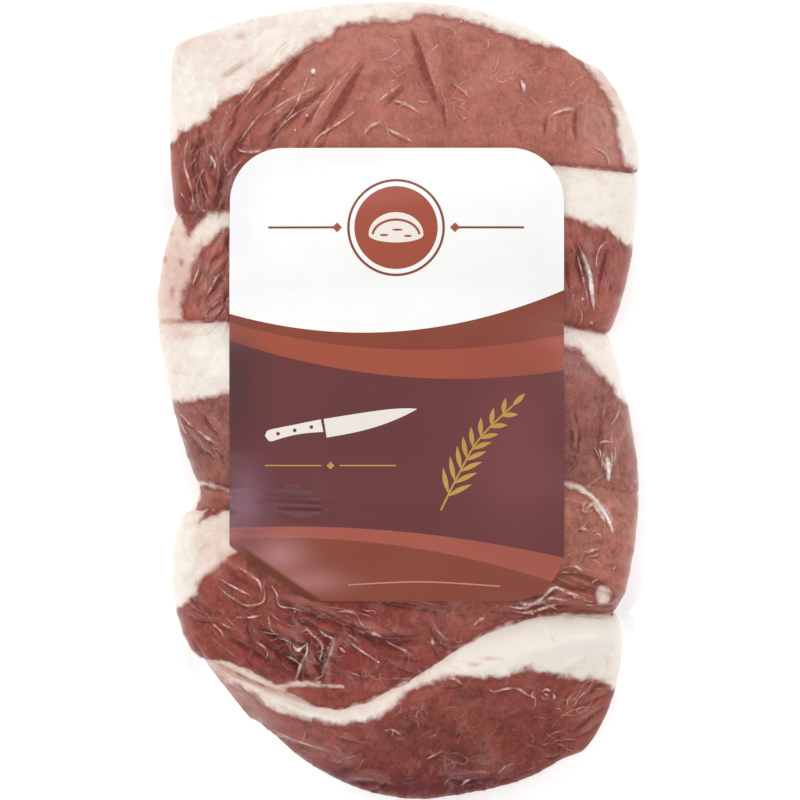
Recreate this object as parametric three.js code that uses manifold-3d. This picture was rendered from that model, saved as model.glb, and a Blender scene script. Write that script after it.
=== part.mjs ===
// A clear vacuum pack of six picanha slices, laid like shingles along the pack, with a label on top.
import * as THREE from "three";
import { mergeVertices } from "three/addons/utils/BufferGeometryUtils.js";
import Module from "manifold-3d";

// Sizes are in millimetres. X runs across the pack, Y along it towards the first slice, and Z up
// from the flat underside to the label.

// A row is the edge of a slice seen from above: the X of its two ends, its Y at even stations from
// left to right, the pack's height along it, and how far the film's seam stands out past its ends.
// The first and the last row are the ends of the pack.
const ROWS = [
  { ends: [-74.5, 66], y: [121.5, 129, 133.5, 135.5, 134, 127, 113.5], height: 25, seam: [1.5, 1.5] },
  { ends: [-75, 80], y: [63, 64.5, 68.5, 73, 76, 79, 77], height: 40, seam: [4.5, 1.5] },
  { ends: [-81.5, 70.5], y: [26.5, 26.5, 29, 30.5, 30, 27, 22.5], height: 46, seam: [1.5, 3] },
  { ends: [-67.5, 81], y: [-29, -31.5, -32, -31.5, -29.5, -28, -31.5], height: 47, seam: [3, 1.5] },
  { ends: [-70.5, 72], y: [-37.5, -36.5, -38, -43.5, -50.5, -59, -67], height: 46, seam: [2, 5.5] },
  { ends: [-66.5, 72.5], y: [-87.5, -97.5, -104, -94.5, -80, -72.5, -72.5], height: 43, seam: [8, 5] },
  { ends: [-50.5, 60.5], y: [-108, -122.5, -132, -135.5, -133.5, -129, -120], height: 26, seam: [5, 1.5] },
];

// A slice lies between two rows. Its sides bulge past the straight lines between the rows' ends.
// From the second slice on, a groove runs along its upper row, and the slice before it runs on
// beneath it for the lap. Its fat is a band along the upper row, given by its width at the row's
// stations. The fourth slice shows none.
const SLICES = [
  { bulge: [3, 5.5], fat: [36, 32, 28, 19, 12, 7, 6.5, 5, 4, 4, 3.5, 3, 34] },
  { bulge: [2.5, 4], groove: 5, lap: 60, fat: [35, 6, 8, 13.5, 17.5, 18.5, 18.5] },
  { bulge: [2.5, 2.5], groove: 5, lap: 60, fat: [27, 26, 24, 17.5, 12.5, 7.5, 23] },
  { bulge: [0, 1.5], groove: 4.5, lap: 56 },
  { bulge: [8.5, 0], groove: 3.5, lap: 50, fat: [30.5, 8, 5, 4.5, 4, 3.5, 3] },
  { bulge: [0.5, 7.5], groove: 5.5, lap: 24, fat: [3.5, 5, 4.5, 8, 13.5, 20.5, 27] },
];

const RIM_HEIGHT = 16; // the widest line of the pack, where the two films meet
const ROUNDING = 3; // how squarely the pack's edges turn over: 2 is an ellipse
const FLAT_FROM = 0.8; // the underside lies flat where the rounding has come up to this share
const RISE_SHARE = 0.2; // the part of a slice over which its fat edge climbs out of the groove
const FALL_FROM = 0.35; // the part of a slice past which its top falls to the next groove
const EDGE_LEAN = 0.2; // a fat edge leans back by this much for each millimetre down
const LAP_BEND = 1.7; // how the face under a slice flattens with depth
const LAP_GAP = 0.7; // between two slices along Y, which is 0.3 square to the slanting face
const FAT_GAP = 0.3;

const SEAM_THICKNESS = 0.6;
const SEAM_GAP = 0.5; // along X or Y, which is 0.3 or more square to the meat's edge

const LABEL = { left: -57, right: 55.5, top: 85, bottom: -67.5 };
const LABEL_CORNER = 20; // radius of its three round corners
const LABEL_CUT = { across: 27, up: 18.5 }; // the fourth, at the lower left, is folded under
const LABEL_THICKNESS = 0.5;
const LABEL_LIFT = 0.4; // above the tops of the slices
const LABEL_SAG = 0.75; // the share of a groove's depth that the label sinks into it

const COLUMNS = 18; // across the pack, closer together towards its sides
const SLICE_STEPS = [0, 0.06, 0.13, 0.2, 0.4, 0.6, 0.8]; // along each slice
const LAST_STEPS = [0.92, 0.97, 1]; // and at the end of the last one
const CUT_COLUMNS = 14;
const CUT_LEVELS = [60, 42, 34, 26, 18, 10, 3, -5]; // heights of a cutting face's points
const CUT_REACH = 200; // a cutting block runs this far along Y
const CUT_OVERHANG = 0.15; // and past each side of the pack by this share of its width
const MERGE_DISTANCE = 1e-4;

const LEAN_COLOUR = "#9b6158";
const FAT_COLOUR = "#efe6dc";
const FILM_COLOUR = "#e9e9ea";
const LABEL_COLOUR = "#8c4a42";

const { clamp, lerp, smoothstep } = THREE.MathUtils;
const LAST = SLICES.length - 1;

// The pack's surface is a grid on these counts along the pack and shares across it.
const COUNTS = [
  ...SLICES.flatMap((_, k) => SLICE_STEPS.map((step) => k + step)),
  ...LAST_STEPS.map((step) => LAST + step),
];
const SHARES = Array.from({ length: COLUMNS + 1 }, (_, i) => (1 - Math.cos((Math.PI * i) / COLUMNS)) / 2);

const wasm = await Module();
wasm.setup();

// A smooth curve through even stations, read at a share from 0 to 1.
function curveThrough(values) {
  const stations = values.map((value, i) => new THREE.Vector2(i, value));
  const curve = new THREE.SplineCurve(stations);
  return (share) => curve.getPoint(clamp(share, 0, 1)).y;
}

const rowY = ROWS.map((row) => curveThrough(row.y));
const fatWidth = SLICES.map((slice) => slice.fat && curveThrough(slice.fat));
const packHeight = curveThrough(ROWS.map((row) => row.height));

// A place in the pack is a share u across it, from left to right, and a count s along it, whose
// whole numbers are the rows.
function sliceAt(s) {
  const k = Math.min(Math.floor(s), LAST);
  return [k, s - k];
}

// The X of the pack's two sides at s.
function sides(s) {
  const [k, f] = sliceAt(s);
  const swell = Math.sqrt(Math.sin(Math.PI * f));
  const side = (i) => lerp(ROWS[k].ends[i], ROWS[k + 1].ends[i], f);
  return [side(0) - swell * SLICES[k].bulge[0], side(1) + swell * SLICES[k].bulge[1]];
}

function placeOf(u, s) {
  const [k, f] = sliceAt(s);
  const [left, right] = sides(s);
  return [lerp(left, right, u), lerp(rowY[k](u), rowY[k + 1](u), f)];
}

// 0 at the rim, 1 well inside the pack.
function rounding(share) {
  return (1 - Math.abs(1 - Math.min(share, 1)) ** ROUNDING) ** (1 / ROUNDING);
}

function fullness(u, s) {
  return rounding(2 * Math.min(u, 1 - u)) * rounding(Math.min(s, LAST + 1 - s));
}

// The height of the slices' tops, before the grooves sink in.
function crownHeight(u, s) {
  return RIM_HEIGHT + (packHeight(s / (LAST + 1)) - RIM_HEIGHT) * fullness(u, s);
}

function grooveDepth(u, s) {
  const [k, f] = sliceAt(s);
  const above = (SLICES[k].groove ?? 0) * (1 - smoothstep(f, 0, RISE_SHARE));
  const below = (SLICES[k + 1]?.groove ?? 0) * smoothstep(f, FALL_FROM, 1);
  return (above + below) * fullness(u, s);
}

function topHeight(u, s) {
  return crownHeight(u, s) - grooveDepth(u, s);
}

function undersideHeight(u, s) {
  return RIM_HEIGHT * (1 - Math.min(1, fullness(u, s) / FLAT_FROM)) ** 1.5;
}

// The closed skin round the space between two grids of points. Seen from the front, the rows run
// down and the columns to the right. Borders that already meet get no wall.
function skin(front, back) {
  const height = front.length;
  const width = front[0].length;
  const points = [...front.flat(), ...back.flat()];
  const behind = height * width;
  const index = [];
  const quad = (a, b, c, d) => index.push(a, b, c, a, c, d);
  for (let i = 0; i + 1 < height; i++) {
    for (let j = 0; j + 1 < width; j++) {
      const corner = i * width + j;
      const [a, b, c, d] = [corner, corner + width, corner + width + 1, corner + 1];
      quad(a, b, c, d);
      quad(d + behind, c + behind, b + behind, a + behind);
    }
  }
  const border = [];
  for (let i = 0; i < height - 1; i++) border.push(i * width);
  for (let j = 0; j < width - 1; j++) border.push((height - 1) * width + j);
  for (let i = height - 1; i > 0; i--) border.push(i * width + width - 1);
  for (let j = width - 1; j > 0; j--) border.push(j);
  border.forEach((a, n) => {
    const b = border[(n + 1) % border.length];
    if (points[a].distanceTo(points[a + behind]) < MERGE_DISTANCE) return;
    quad(a, a + behind, b + behind, b);
  });
  return new THREE.BufferGeometry().setFromPoints(points).setIndex(index);
}

function solidOf(geometry) {
  const merged = mergeVertices(geometry, MERGE_DISTANCE);
  return new wasm.Manifold(
    new wasm.Mesh({
      numProp: 3,
      vertProperties: merged.attributes.position.array,
      triVerts: new Uint32Array(merged.index.array),
    }),
  );
}

// A geometry with its positions alone, so that corners shared by its faces can merge.
function positionsOf(geometry) {
  geometry.deleteAttribute("normal");
  geometry.deleteAttribute("uv");
  return geometry;
}

function geometryOf(solid) {
  const mesh = solid.getMesh();
  const geometry = new THREE.BufferGeometry();
  geometry.setAttribute("position", new THREE.BufferAttribute(mesh.vertProperties, 3));
  geometry.setIndex(new THREE.BufferAttribute(mesh.triVerts, 1));
  return geometry;
}

// A grid of points over the whole pack, at a height worked out for each.
function surface(height) {
  return COUNTS.map((s) => SHARES.map((u) => new THREE.Vector3(...placeOf(u, s), height(u, s))));
}

// The whole filled pack out to the film: grooved crown on top, flat underside, rounded edges.
function packSolid() {
  return solidOf(skin(surface(topHeight), surface(undersideHeight)));
}

// A cutting face through the line at count(u), which leans back under the pack's top as it goes
// down. `bend` adds the run of a lap. `shift` moves the face along Y.
function cuttingFace(count, bend, shift) {
  const shares = Array.from({ length: CUT_COLUMNS + 1 }, (_, i) =>
    lerp(-CUT_OVERHANG, 1 + CUT_OVERHANG, i / CUT_COLUMNS),
  );
  return CUT_LEVELS.map((z) =>
    shares.map((u) => {
      const inside = clamp(u, 0, 1);
      const s = count(inside);
      const [left, right] = sides(s);
      const depth = topHeight(inside, s) - z;
      const run = EDGE_LEAN * depth + bend * Math.max(depth / packHeight(0.5), 0) ** LAP_BEND;
      return new THREE.Vector3(lerp(left, right, u), placeOf(inside, s)[1] - run + shift, z);
    }),
  );
}

function farGrid(face, y) {
  return face.map((row) => row.map((point) => new THREE.Vector3(point.x, y, point.z)));
}

// Everything on the far side of a cutting face, towards the last slice or towards the first.
const below = (face) => solidOf(skin(farGrid(face, -CUT_REACH), face));
const above = (face) => solidOf(skin(face, farGrid(face, CUT_REACH)));

// The slices, cut from the pack from the last one laid to the first, because each lies on the one
// before it.
function sliceSolids() {
  const slices = [];
  let rest = packSolid();
  for (let k = LAST; k > 0; k--) {
    const face = (shift) => cuttingFace(() => k, SLICES[k].lap, shift);
    slices[k] = rest.intersect(below(face(-LAP_GAP / 2)));
    rest = rest.subtract(below(face(LAP_GAP / 2)));
  }
  slices[0] = rest;
  return slices;
}

// Where the fat of slice k ends, as a count along the pack.
function fatEdge(k) {
  return (u) => k + fatWidth[k](u) / (rowY[k](u) - rowY[k + 1](u));
}

// The welded edge of the two films, a thin flat ring round the meat. It stands out along X from
// the pack's sides and along Y from its ends.
function seamGeometry() {
  const end = LAST + 1;
  const [leftSeam, rightSeam] = [0, 1].map((side) => curveThrough(ROWS.map((row) => row.seam[side])));
  const edge = [
    ...COUNTS.slice(0, -1).map((s) => [0, s]),
    ...SHARES.slice(0, -1).map((u) => [u, end]),
    ...COUNTS.slice(1).reverse().map((s) => [1, s]),
    ...SHARES.slice(1).reverse().map((u) => [u, 0]),
  ];
  const outline = (reach) =>
    edge.map(([u, s]) => {
      const [x, y] = placeOf(u, s);
      const wide = reach(lerp(leftSeam(s / end), rightSeam(s / end), smoothstep(u, 0, 0.5)));
      const outX = (u === 1) - (u === 0);
      const outY = (s === 0) - (s === end);
      return new THREE.Vector2(x + outX * wide, y + outY * wide);
    });
  const shape = new THREE.Shape(outline((seam) => seam));
  shape.holes.push(new THREE.Path(outline(() => SEAM_GAP)));
  const ring = new THREE.ExtrudeGeometry(shape, { depth: SEAM_THICKNESS, bevelEnabled: false });
  return ring.translate(0, 0, RIM_HEIGHT - SEAM_THICKNESS / 2);
}

// The label, a thin sheet that lies over the slices and half bridges their grooves.
function labelSolid() {
  const { left, right, top, bottom } = LABEL;
  const [inLeft, inRight] = [left + LABEL_CORNER, right - LABEL_CORNER];
  const outline = new THREE.Shape();
  outline.moveTo(left + LABEL_CUT.across, bottom);
  outline.absarc(inRight, bottom + LABEL_CORNER, LABEL_CORNER, -Math.PI / 2, 0);
  outline.absarc(inRight, top - LABEL_CORNER, LABEL_CORNER, 0, Math.PI / 2);
  outline.absarc(inLeft, top - LABEL_CORNER, LABEL_CORNER, Math.PI / 2, Math.PI);
  outline.lineTo(left, bottom + LABEL_CUT.up);
  const depth = 2 * packHeight(0.5);
  const cutter = new THREE.ExtrudeGeometry(outline, { depth, bevelEnabled: false, curveSegments: 8 });
  const sheet = (lift) =>
    surface((u, s) => crownHeight(u, s) - LABEL_SAG * grooveDepth(u, s) + lift);
  const whole = solidOf(skin(sheet(LABEL_LIFT + LABEL_THICKNESS), sheet(LABEL_LIFT)));
  return whole.intersect(solidOf(positionsOf(cutter)));
}

const lean = new THREE.MeshStandardMaterial({ color: LEAN_COLOUR, roughness: 0.45, metalness: 0 });
const fat = new THREE.MeshStandardMaterial({ color: FAT_COLOUR, roughness: 0.5, metalness: 0 });
const film = new THREE.MeshStandardMaterial({ color: FILM_COLOUR, roughness: 0.15, metalness: 0 });
const print = new THREE.MeshStandardMaterial({ color: LABEL_COLOUR, roughness: 0.3, metalness: 0 });

function named(name, geometry, material) {
  const mesh = new THREE.Mesh(geometry, material);
  mesh.name = name;
  return mesh;
}

const pack = new THREE.Group();
sliceSolids().forEach((slice, k) => {
  if (!fatWidth[k]) {
    pack.add(named(`lean_${k + 1}`, geometryOf(slice), lean));
    return;
  }
  const face = (shift) => cuttingFace(fatEdge(k), 0, shift);
  const fatSolid = slice.intersect(above(face(FAT_GAP / 2)));
  const leanSolid = slice.subtract(above(face(-FAT_GAP / 2)));
  pack.add(named(`fat_${k + 1}`, geometryOf(fatSolid), fat));
  pack.add(named(`lean_${k + 1}`, geometryOf(leanSolid), lean));
});
pack.add(named("film_seam", seamGeometry(), film));
pack.add(named("label", geometryOf(labelSolid()), print));

// The middle of the underside is the origin.
const box = new THREE.Box3().setFromObject(pack);
pack.position.set(-(box.min.x + box.max.x) / 2, -(box.min.y + box.max.y) / 2, 0);

export default pack;
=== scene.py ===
"""A clear vacuum pack of six picanha slices, laid like shingles along it, with a printed label.

Sizes are millimetres in the pack's plan: X across it, Y along it towards the first slice, and Z up
from the floor. They turn into metres, in the frame's own place, where a mesh is made.
"""

import bpy
import numpy as np
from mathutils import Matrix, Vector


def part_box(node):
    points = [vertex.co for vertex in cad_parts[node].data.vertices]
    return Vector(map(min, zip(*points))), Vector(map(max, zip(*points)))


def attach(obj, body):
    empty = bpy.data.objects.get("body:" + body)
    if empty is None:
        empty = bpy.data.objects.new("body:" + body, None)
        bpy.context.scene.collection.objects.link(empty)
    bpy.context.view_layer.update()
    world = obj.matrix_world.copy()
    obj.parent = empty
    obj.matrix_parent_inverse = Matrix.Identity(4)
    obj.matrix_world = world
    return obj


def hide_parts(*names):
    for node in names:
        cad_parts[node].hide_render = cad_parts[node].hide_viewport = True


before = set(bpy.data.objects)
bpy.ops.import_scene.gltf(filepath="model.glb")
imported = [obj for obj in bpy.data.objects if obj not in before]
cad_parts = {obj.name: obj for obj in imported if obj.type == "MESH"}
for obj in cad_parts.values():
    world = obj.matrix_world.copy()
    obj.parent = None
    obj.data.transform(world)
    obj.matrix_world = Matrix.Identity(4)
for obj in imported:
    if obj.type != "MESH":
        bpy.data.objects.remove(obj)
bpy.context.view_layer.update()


# The six slices. Each is one cut across the muscle: dull rosy lean under a cap of cream fat. They
# lie on each other like shingles, and the film presses them into one mound that has a groove where
# each slice starts.

# A row is the edge where a slice starts: X of its two ends, its Y from left to right, and how high
# the tops are there before the groove. The first and the last row are the ends of the pack.
ROW_ENDS = np.array([
    [-74.5, 66], [-75, 80], [-81.5, 70.5], [-67.5, 81], [-70.5, 76], [-66.5, 72.5], [-50.5, 60.5],
])
ROW_Y = np.array([
    [121.5, 129, 133.5, 135.5, 134, 127, 113.5],
    [63, 64.5, 68.5, 73, 76, 79, 77],
    [26.5, 26.5, 29, 30.5, 30, 27, 22.5],
    [-29, -31.5, -32, -31.5, -29.5, -28, -31.5],
    [-37.5, -36.5, -38, -43.5, -50.5, -59, -67],
    [-87.5, -97.5, -104, -94.5, -80, -72.5, -72.5],
    [-108, -122.5, -132, -135.5, -133.5, -129, -120],
])
ROW_HEIGHTS = np.array([25, 40, 46, 47, 46, 43, 26])
SLICES = 6
BULGES = np.array([[3, 5.5], [2.5, 4], [2.5, 2.5], [0, 1.5], [8.5, 0], [0.5, 7.5]])  # of both sides
GROOVES = np.array([0, 5, 5, 4.5, 3.5, 5.5, 0])  # depth at each row
RISE_SHARE = 0.2
FALL_FROM = 0.35
CREASE_DEPTH = 1.3  # the sharp nick in the bottom of each groove
CREASE_WIDTH = 1.1
LAPS = [0, 60, 60, 56, 50, 24]  # how far the slice before runs on under each one
LAP_BEND = 1.7
EDGE_LEAN = 0.2
ROW_WANDER = 0.5
RIM_HEIGHT = 16
ROUNDING = 3
FLAT_FROM = 0.8  # how full the pack is where its underside lies flat
BASE_BEND = 1.5
WALL_FROM = 6  # the underside's height where it has its whole relief
CORNER_REACH = (0.1, 0.06)  # of the first slice's rounder corner: a count and a share

# The lower border of each fat cap, from left to right. The fourth slice has only a pale line.
FAT_EDGES = {
    1: [(-90, 86), (-77, 87.5), (-73.5, 91.5), (-67, 93.5), (-61, 100.5), (-52, 105), (-44, 111),
        (-35.5, 117), (-29.5, 122), (-24, 123), (-19.5, 127), (-13, 128.5), (-5, 129), (3, 129),
        (6, 131), (15, 130.5), (26.5, 128), (42, 122.5), (52.5, 120), (57.5, 120), (60.5, 117),
        (65.5, 111), (71, 102.5), (73.5, 95), (75.5, 83), (78.5, 79), (90, 74)],
    2: [(-90, 24), (-74.5, 25), (-73.5, 31), (-72.5, 36.5), (-70.5, 43), (-67.5, 50.5), (-64, 53.5),
        (-56.5, 59), (-33.5, 62), (0.5, 63), (34.5, 64.5), (49.5, 63.5), (55.5, 62), (64.5, 59.5),
        (71.5, 57), (77, 52.5), (90, 50)],
    3: [(-90, -1), (-76.5, -0.5), (-67.5, 0.5), (-57, 2.5), (-33.5, 6), (0.5, 12), (34.5, 16.5),
        (49.5, 18.5), (59.5, 17.5), (63.5, 13), (71.5, 5), (76, -0.5), (90, -6)],
    5: [(-90, -74), (-75, -70.5), (-72, -68), (-69, -65.5), (-67.5, -61), (-59.5, -54.5),
        (-53.5, -50.5), (-33.5, -42), (0.5, -49.5), (27.5, -52), (48, -56), (54.5, -57.5),
        (68.5, -61.5), (90, -66)],
    6: [(-80, -88), (-64, -91.5), (-59, -95), (-53.5, -96.5), (-48, -99.5), (-45, -102.5),
        (-39, -105.5), (-32, -107), (-23, -108.5), (-16.5, -108.5), (-9, -107.5), (-1.5, -102.5),
        (4, -98), (9, -95.5), (17.5, -93), (29.5, -93), (35.5, -93), (40, -91), (44.5, -90),
        (46.5, -91.5), (52.5, -92.5), (60, -94), (68, -94.5), (74, -98), (90, -104)],
}

# The fine grid of the slices' surface: steps across the pack and along each slice. The base has one
# face for so many steps each way.
ACROSS = 520
ALONG = [148, 100, 132, 72, 108, 120]
BASE_BLOCK = 4

# The label's sides in the plan, and so the way from the plan's origin to the frame's.
LABEL_LEFT, LABEL_RIGHT, LABEL_TOP, LABEL_BOTTOM = -57, 55.5, 85, -67.5
label_middle = np.array(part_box("label")[0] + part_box("label")[1]) * 500
PLAN_SHIFT = label_middle[:2] - [(LABEL_LEFT + LABEL_RIGHT) / 2, (LABEL_TOP + LABEL_BOTTOM) / 2]


def mix(a, b, share):
    return a + (b - a) * share


def smooth(value, low=0.0, high=1.0):
    """0 below low, 1 above high, and between them the S-shaped cubic 3t^2 - 2t^3."""
    t = np.clip((value - low) / (high - low), 0, 1)
    return t * t * (3 - 2 * t)


def through(values, share, line=0):
    """A smooth curve through even stations, read at a share from 0 to 1: between two stations it is
    the cubic whose slope at each is half the step between its neighbours. `values` holds one curve,
    or one in each line."""
    lines = np.atleast_2d(values).astype(float)
    last = lines.shape[1] - 1
    station = np.clip(share, 0, 1) * last
    i = np.minimum(station.astype(int), last - 1)
    t = station - i
    padded = np.concatenate([lines[:, :1], lines, lines[:, -1:]], axis=1)
    a, b, c, d = (padded[line, i + n] for n in range(4))
    return b + t / 2 * (c - a + t * (2 * a - 5 * b + 4 * c - d + t * (3 * b - 3 * c + d - a)))


def slice_of(s):
    """The slice that a count along the pack lies in, and the share of it that is past."""
    k = np.clip(np.floor(s).astype(int), 0, SLICES - 1)
    return k, s - k


def sides(s):
    """X of the pack's two sides: straight between the rows' ends, and out from there by a bulge
    times the root of a half sine."""
    k, f = slice_of(s)
    swell = np.sqrt(np.sin(np.pi * np.clip(f, 0, 1)))
    left = mix(ROW_ENDS[k, 0], ROW_ENDS[k + 1, 0], f) - swell * BULGES[k, 0]
    right = mix(ROW_ENDS[k, 1], ROW_ENDS[k + 1, 1], f) + swell * BULGES[k, 1]
    return left, right


def place(u, s):
    """X and Y at a share u across the pack and a count s along it: straight between two sides, and
    straight between two rows. Near the first slice's left corner it lies up to a millimetre further
    out, which rounds the corner."""
    k, f = slice_of(s)
    left, right = sides(s)
    x, y = mix(left, right, u), mix(through(ROW_Y, u, k), through(ROW_Y, u, k + 1), f)
    below, aside = s / CORNER_REACH[0], u / CORNER_REACH[1]
    out = np.exp(1 - below - aside)
    return x - below * out, y + aside * out


def find_place(x, y):
    """The share and the count at X and Y, by turns: the rows' Y at a share give the count, and the
    sides at that count give the share."""
    turns = 14
    u = np.full(x.shape, 0.5)
    for _ in range(turns):
        rows = np.stack([through(ROW_Y, u, k) for k in range(SLICES + 1)])
        k = np.clip((rows > y).sum(0) - 1, 0, SLICES - 1)
        high = np.take_along_axis(rows, k[None], 0)[0]
        low = np.take_along_axis(rows, k[None] + 1, 0)[0]
        s = k + np.clip((high - y) / (high - low), 0, 1)
        left, right = sides(s)
        u = np.clip((x - left) / (right - left), 0, 1)
    return u, s


def rounding(share):
    """0 at the rim and 1 inside, along a superellipse."""
    return (1 - np.abs(1 - np.clip(share, 0, 1)) ** ROUNDING) ** (1 / ROUNDING)


def fullness(u, s):
    return rounding(2 * np.minimum(u, 1 - u)) * rounding(np.minimum(s, SLICES - s))


def crown(u, s):
    """The height of the tops before the grooves: the rim's, plus the fullness times the rest."""
    return RIM_HEIGHT + (through(ROW_HEIGHTS, s / SLICES) - RIM_HEIGHT) * fullness(u, s)


def groove(u, s):
    """Depth of the grooves: each rises over the first fifth of its slice, and falls towards the next
    row over the last two thirds."""
    k, f = slice_of(s)
    depth = GROOVES[k] * (1 - smooth(f, 0, RISE_SHARE)) + GROOVES[k + 1] * smooth(f, FALL_FROM, 1)
    return depth * fullness(u, s)


def tops(u, s):
    """The height of the tops with their grooves."""
    return crown(u, s) - groove(u, s)


def underside(u, s):
    """The height of the underside: 0 where it lies flat, and out from there a power of what the
    fullness lacks, up to the rim."""
    return RIM_HEIGHT * (1 - np.minimum(1, fullness(u, s) / FLAT_FROM)) ** BASE_BEND


def row_distance(u, s):
    """How far a place is, along Y, from the nearest edge between two slices."""
    y = place(u, s)[1]
    return np.min([np.abs(y - through(ROW_Y, u, k)) for k in range(1, SLICES)], axis=0)


def bell(x, y, middle_x, middle_y, reach_x, reach_y):
    """1 in the middle of a place, and less outwards by a bell in X and in Y."""
    return np.exp(-(((x - middle_x) / reach_x) ** 2) - ((y - middle_y) / reach_y) ** 2)


# Where the meat of two slices lies flush: middle, reach in X and Y, and the share of the nick lost.
FLUSH = [(-70, 65, 7, 6, 1.0), (-63, -38, 5, 4, 0.9), (72, -31, 13, 6, 0.75), (-46, 70, 9, 6, 0.5)]


def crease_share(x, y):
    """How much of the nick between two slices there is: 1, and less where their meat lies flush."""
    share = np.ones(np.shape(x))
    for *spot, lost in FLUSH:
        share *= 1 - lost * bell(x, y, *spot)
    return share


def ripple(x, y, size, seed):
    """Soft random hills about `size` across, from -1 to 1 or so: a sum of cosine waves that run in
    seeded directions, with wavelengths from size to two and a half times that."""
    waves = 28
    random = np.random.default_rng(seed)
    angle = random.uniform(0, 2 * np.pi, waves)
    pitch = 2 * np.pi / (size * random.uniform(1, 2.5, waves))
    phase = random.uniform(0, 2 * np.pi, waves)
    total = np.zeros(np.shape(x))
    for a, p, q in zip(angle, pitch, phase):
        total += np.cos(p * (np.cos(a) * x + np.sin(a) * y) + q)
    return total / np.sqrt(waves)


# The film's soft folds, which also press into the meat. Each is a ridge with a valley on its right
# as it is walked: its two ends, how far its middle bows out to the left, its half width and height.
FOLDS = [
    (-50, 86, -27, 106, 2, 2.2, 0.9), (-52, 99, -33, 120, 1, 2.0, 0.8),
    (-31, 87, -13, 117, 1.5, 2.4, 1.0), (-46, 96, -22, 112, -2, 1.6, 0.7),
    (-62, 72, -52, 96, 1, 2.0, 0.8), (-70, 70, -72, 92, 1, 1.6, 0.7), (-66, 62, -62, 86, -1, 1.8, 0.8),
    (6, 130, 17, 96, 1, 2.6, 0.8), (17, 104, 18, 90, 0, 1.4, 0.5), (-8, 98, 3, 108, 1, 1.2, 0.5),
    (52, 97, 51, 88, 0, 1.3, 0.5), (62, 100, 62, 86, 0, 1.6, 0.6), (-64, 47, -57, 57, 0.5, 1.6, 0.7),
    (-68, 32, -58, 49, 0.5, 1.8, 0.8), (-66, 30, -57, 38, 0, 1.3, 0.6), (62, 55, 66, 36, 1, 2.4, 1.0),
    (72, 52, 68, 34, 1, 1.6, 0.7), (58, 50, 60, 34, 0, 1.4, 0.5), (-72, -8, -60, -20, 0, 1.4, 0.6),
    (-66, -3, -58, -12, 0, 1.3, 0.5), (70, -6, 71, -28, 1, 2.0, 0.8), (60, -2, 62, -24, 0, 1.6, 0.5),
    (56, -56, 72, -61, 1, 1.6, 0.8), (36, -66, 58, -64, 1.5, 1.6, 0.9), (38, -69, 60, -68, 1, 1.3, 0.7),
    (50, -60, 66, -64, 1, 1.2, 0.6), (-42, -66, -16, -75, 2, 2.0, 1.0),
    (-18, -73, 8, -78, -2, 2.2, 1.1), (-8, -66, 16, -70, 1.5, 1.8, 0.8),
    (-60, -54, -44, -64, 1, 1.6, 0.7), (-58, -78, -40, -88, 1.5, 1.8, 0.8),
    (-48, -74, -28, -84, 1, 1.8, 0.9), (-26, -80, -30, -97, -2, 2.0, 1.2),
    (-16, -76, -24, -98, -3, 1.8, 1.1), (-38, -82, -26, -95, 1, 1.8, 1.0),
    (62, -98, 76, -88, 0, 1.4, 0.7), (58, -104, 76, -94, 0, 1.4, 0.7),
    (54, -110, 72, -101, 0, 1.4, 0.6), (-20, -126, 0, -130, 1, 1.6, 0.7),
    (-46, -112, -22, -118, 1, 1.6, 0.5), (12, -128, 40, -127, 1, 1.6, 0.6),
]
# Fans of more such folds and of thin pleats, drawn at random: centre, reach in X and Y, direction in
# degrees, how far that strays, number of folds and of pleats, length, a fold's half width and height.
FANS = [
    (-45, 98, 24, 20, 52, 12, 22, 34, 12, 1.2, 0.6),
    (-66, 76, 8, 14, 85, 14, 10, 14, 11, 1.0, 0.5),
    (-60, 40, 9, 16, 62, 12, 12, 16, 10, 0.9, 0.45),
    (66, 42, 10, 14, 100, 30, 8, 14, 9, 0.9, 0.4),
    (-48, -78, 26, 12, -38, 16, 22, 34, 11, 1.0, 0.5),
    (-10, -82, 30, 12, -30, 35, 20, 34, 10, 1.0, 0.5),
    (52, -66, 22, 6, 0, 14, 14, 26, 10, 0.8, 0.45),
    (66, -100, 10, 12, 32, 8, 12, 16, 12, 0.9, 0.4),
    (10, -122, 52, 10, 5, 30, 18, 30, 9, 1.0, 0.4),
    (30, 105, 40, 20, 90, 60, 16, 34, 7, 1.0, 0.25),
    (0, 112, 60, 16, 35, 50, 0, 40, 6, 1.0, 0.2),
    (64, -18, 14, 16, 80, 30, 10, 16, 8, 0.9, 0.35),
    (-66, -16, 10, 12, -45, 20, 8, 14, 8, 0.8, 0.35),
    (66, -46, 12, 12, 10, 25, 6, 16, 7, 0.9, 0.3),
    (0, -112, 58, 12, -10, 60, 0, 40, 5, 1.0, 0.2),
]
FOLD_SEED = 7
# Beside each ridge lies a valley: how far out and how wide in the ridge's half widths, and how deep.
VALLEY_OUT, VALLEY_WIDTH, VALLEY_DEPTH = 1.7, 0.9, 0.85

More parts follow.
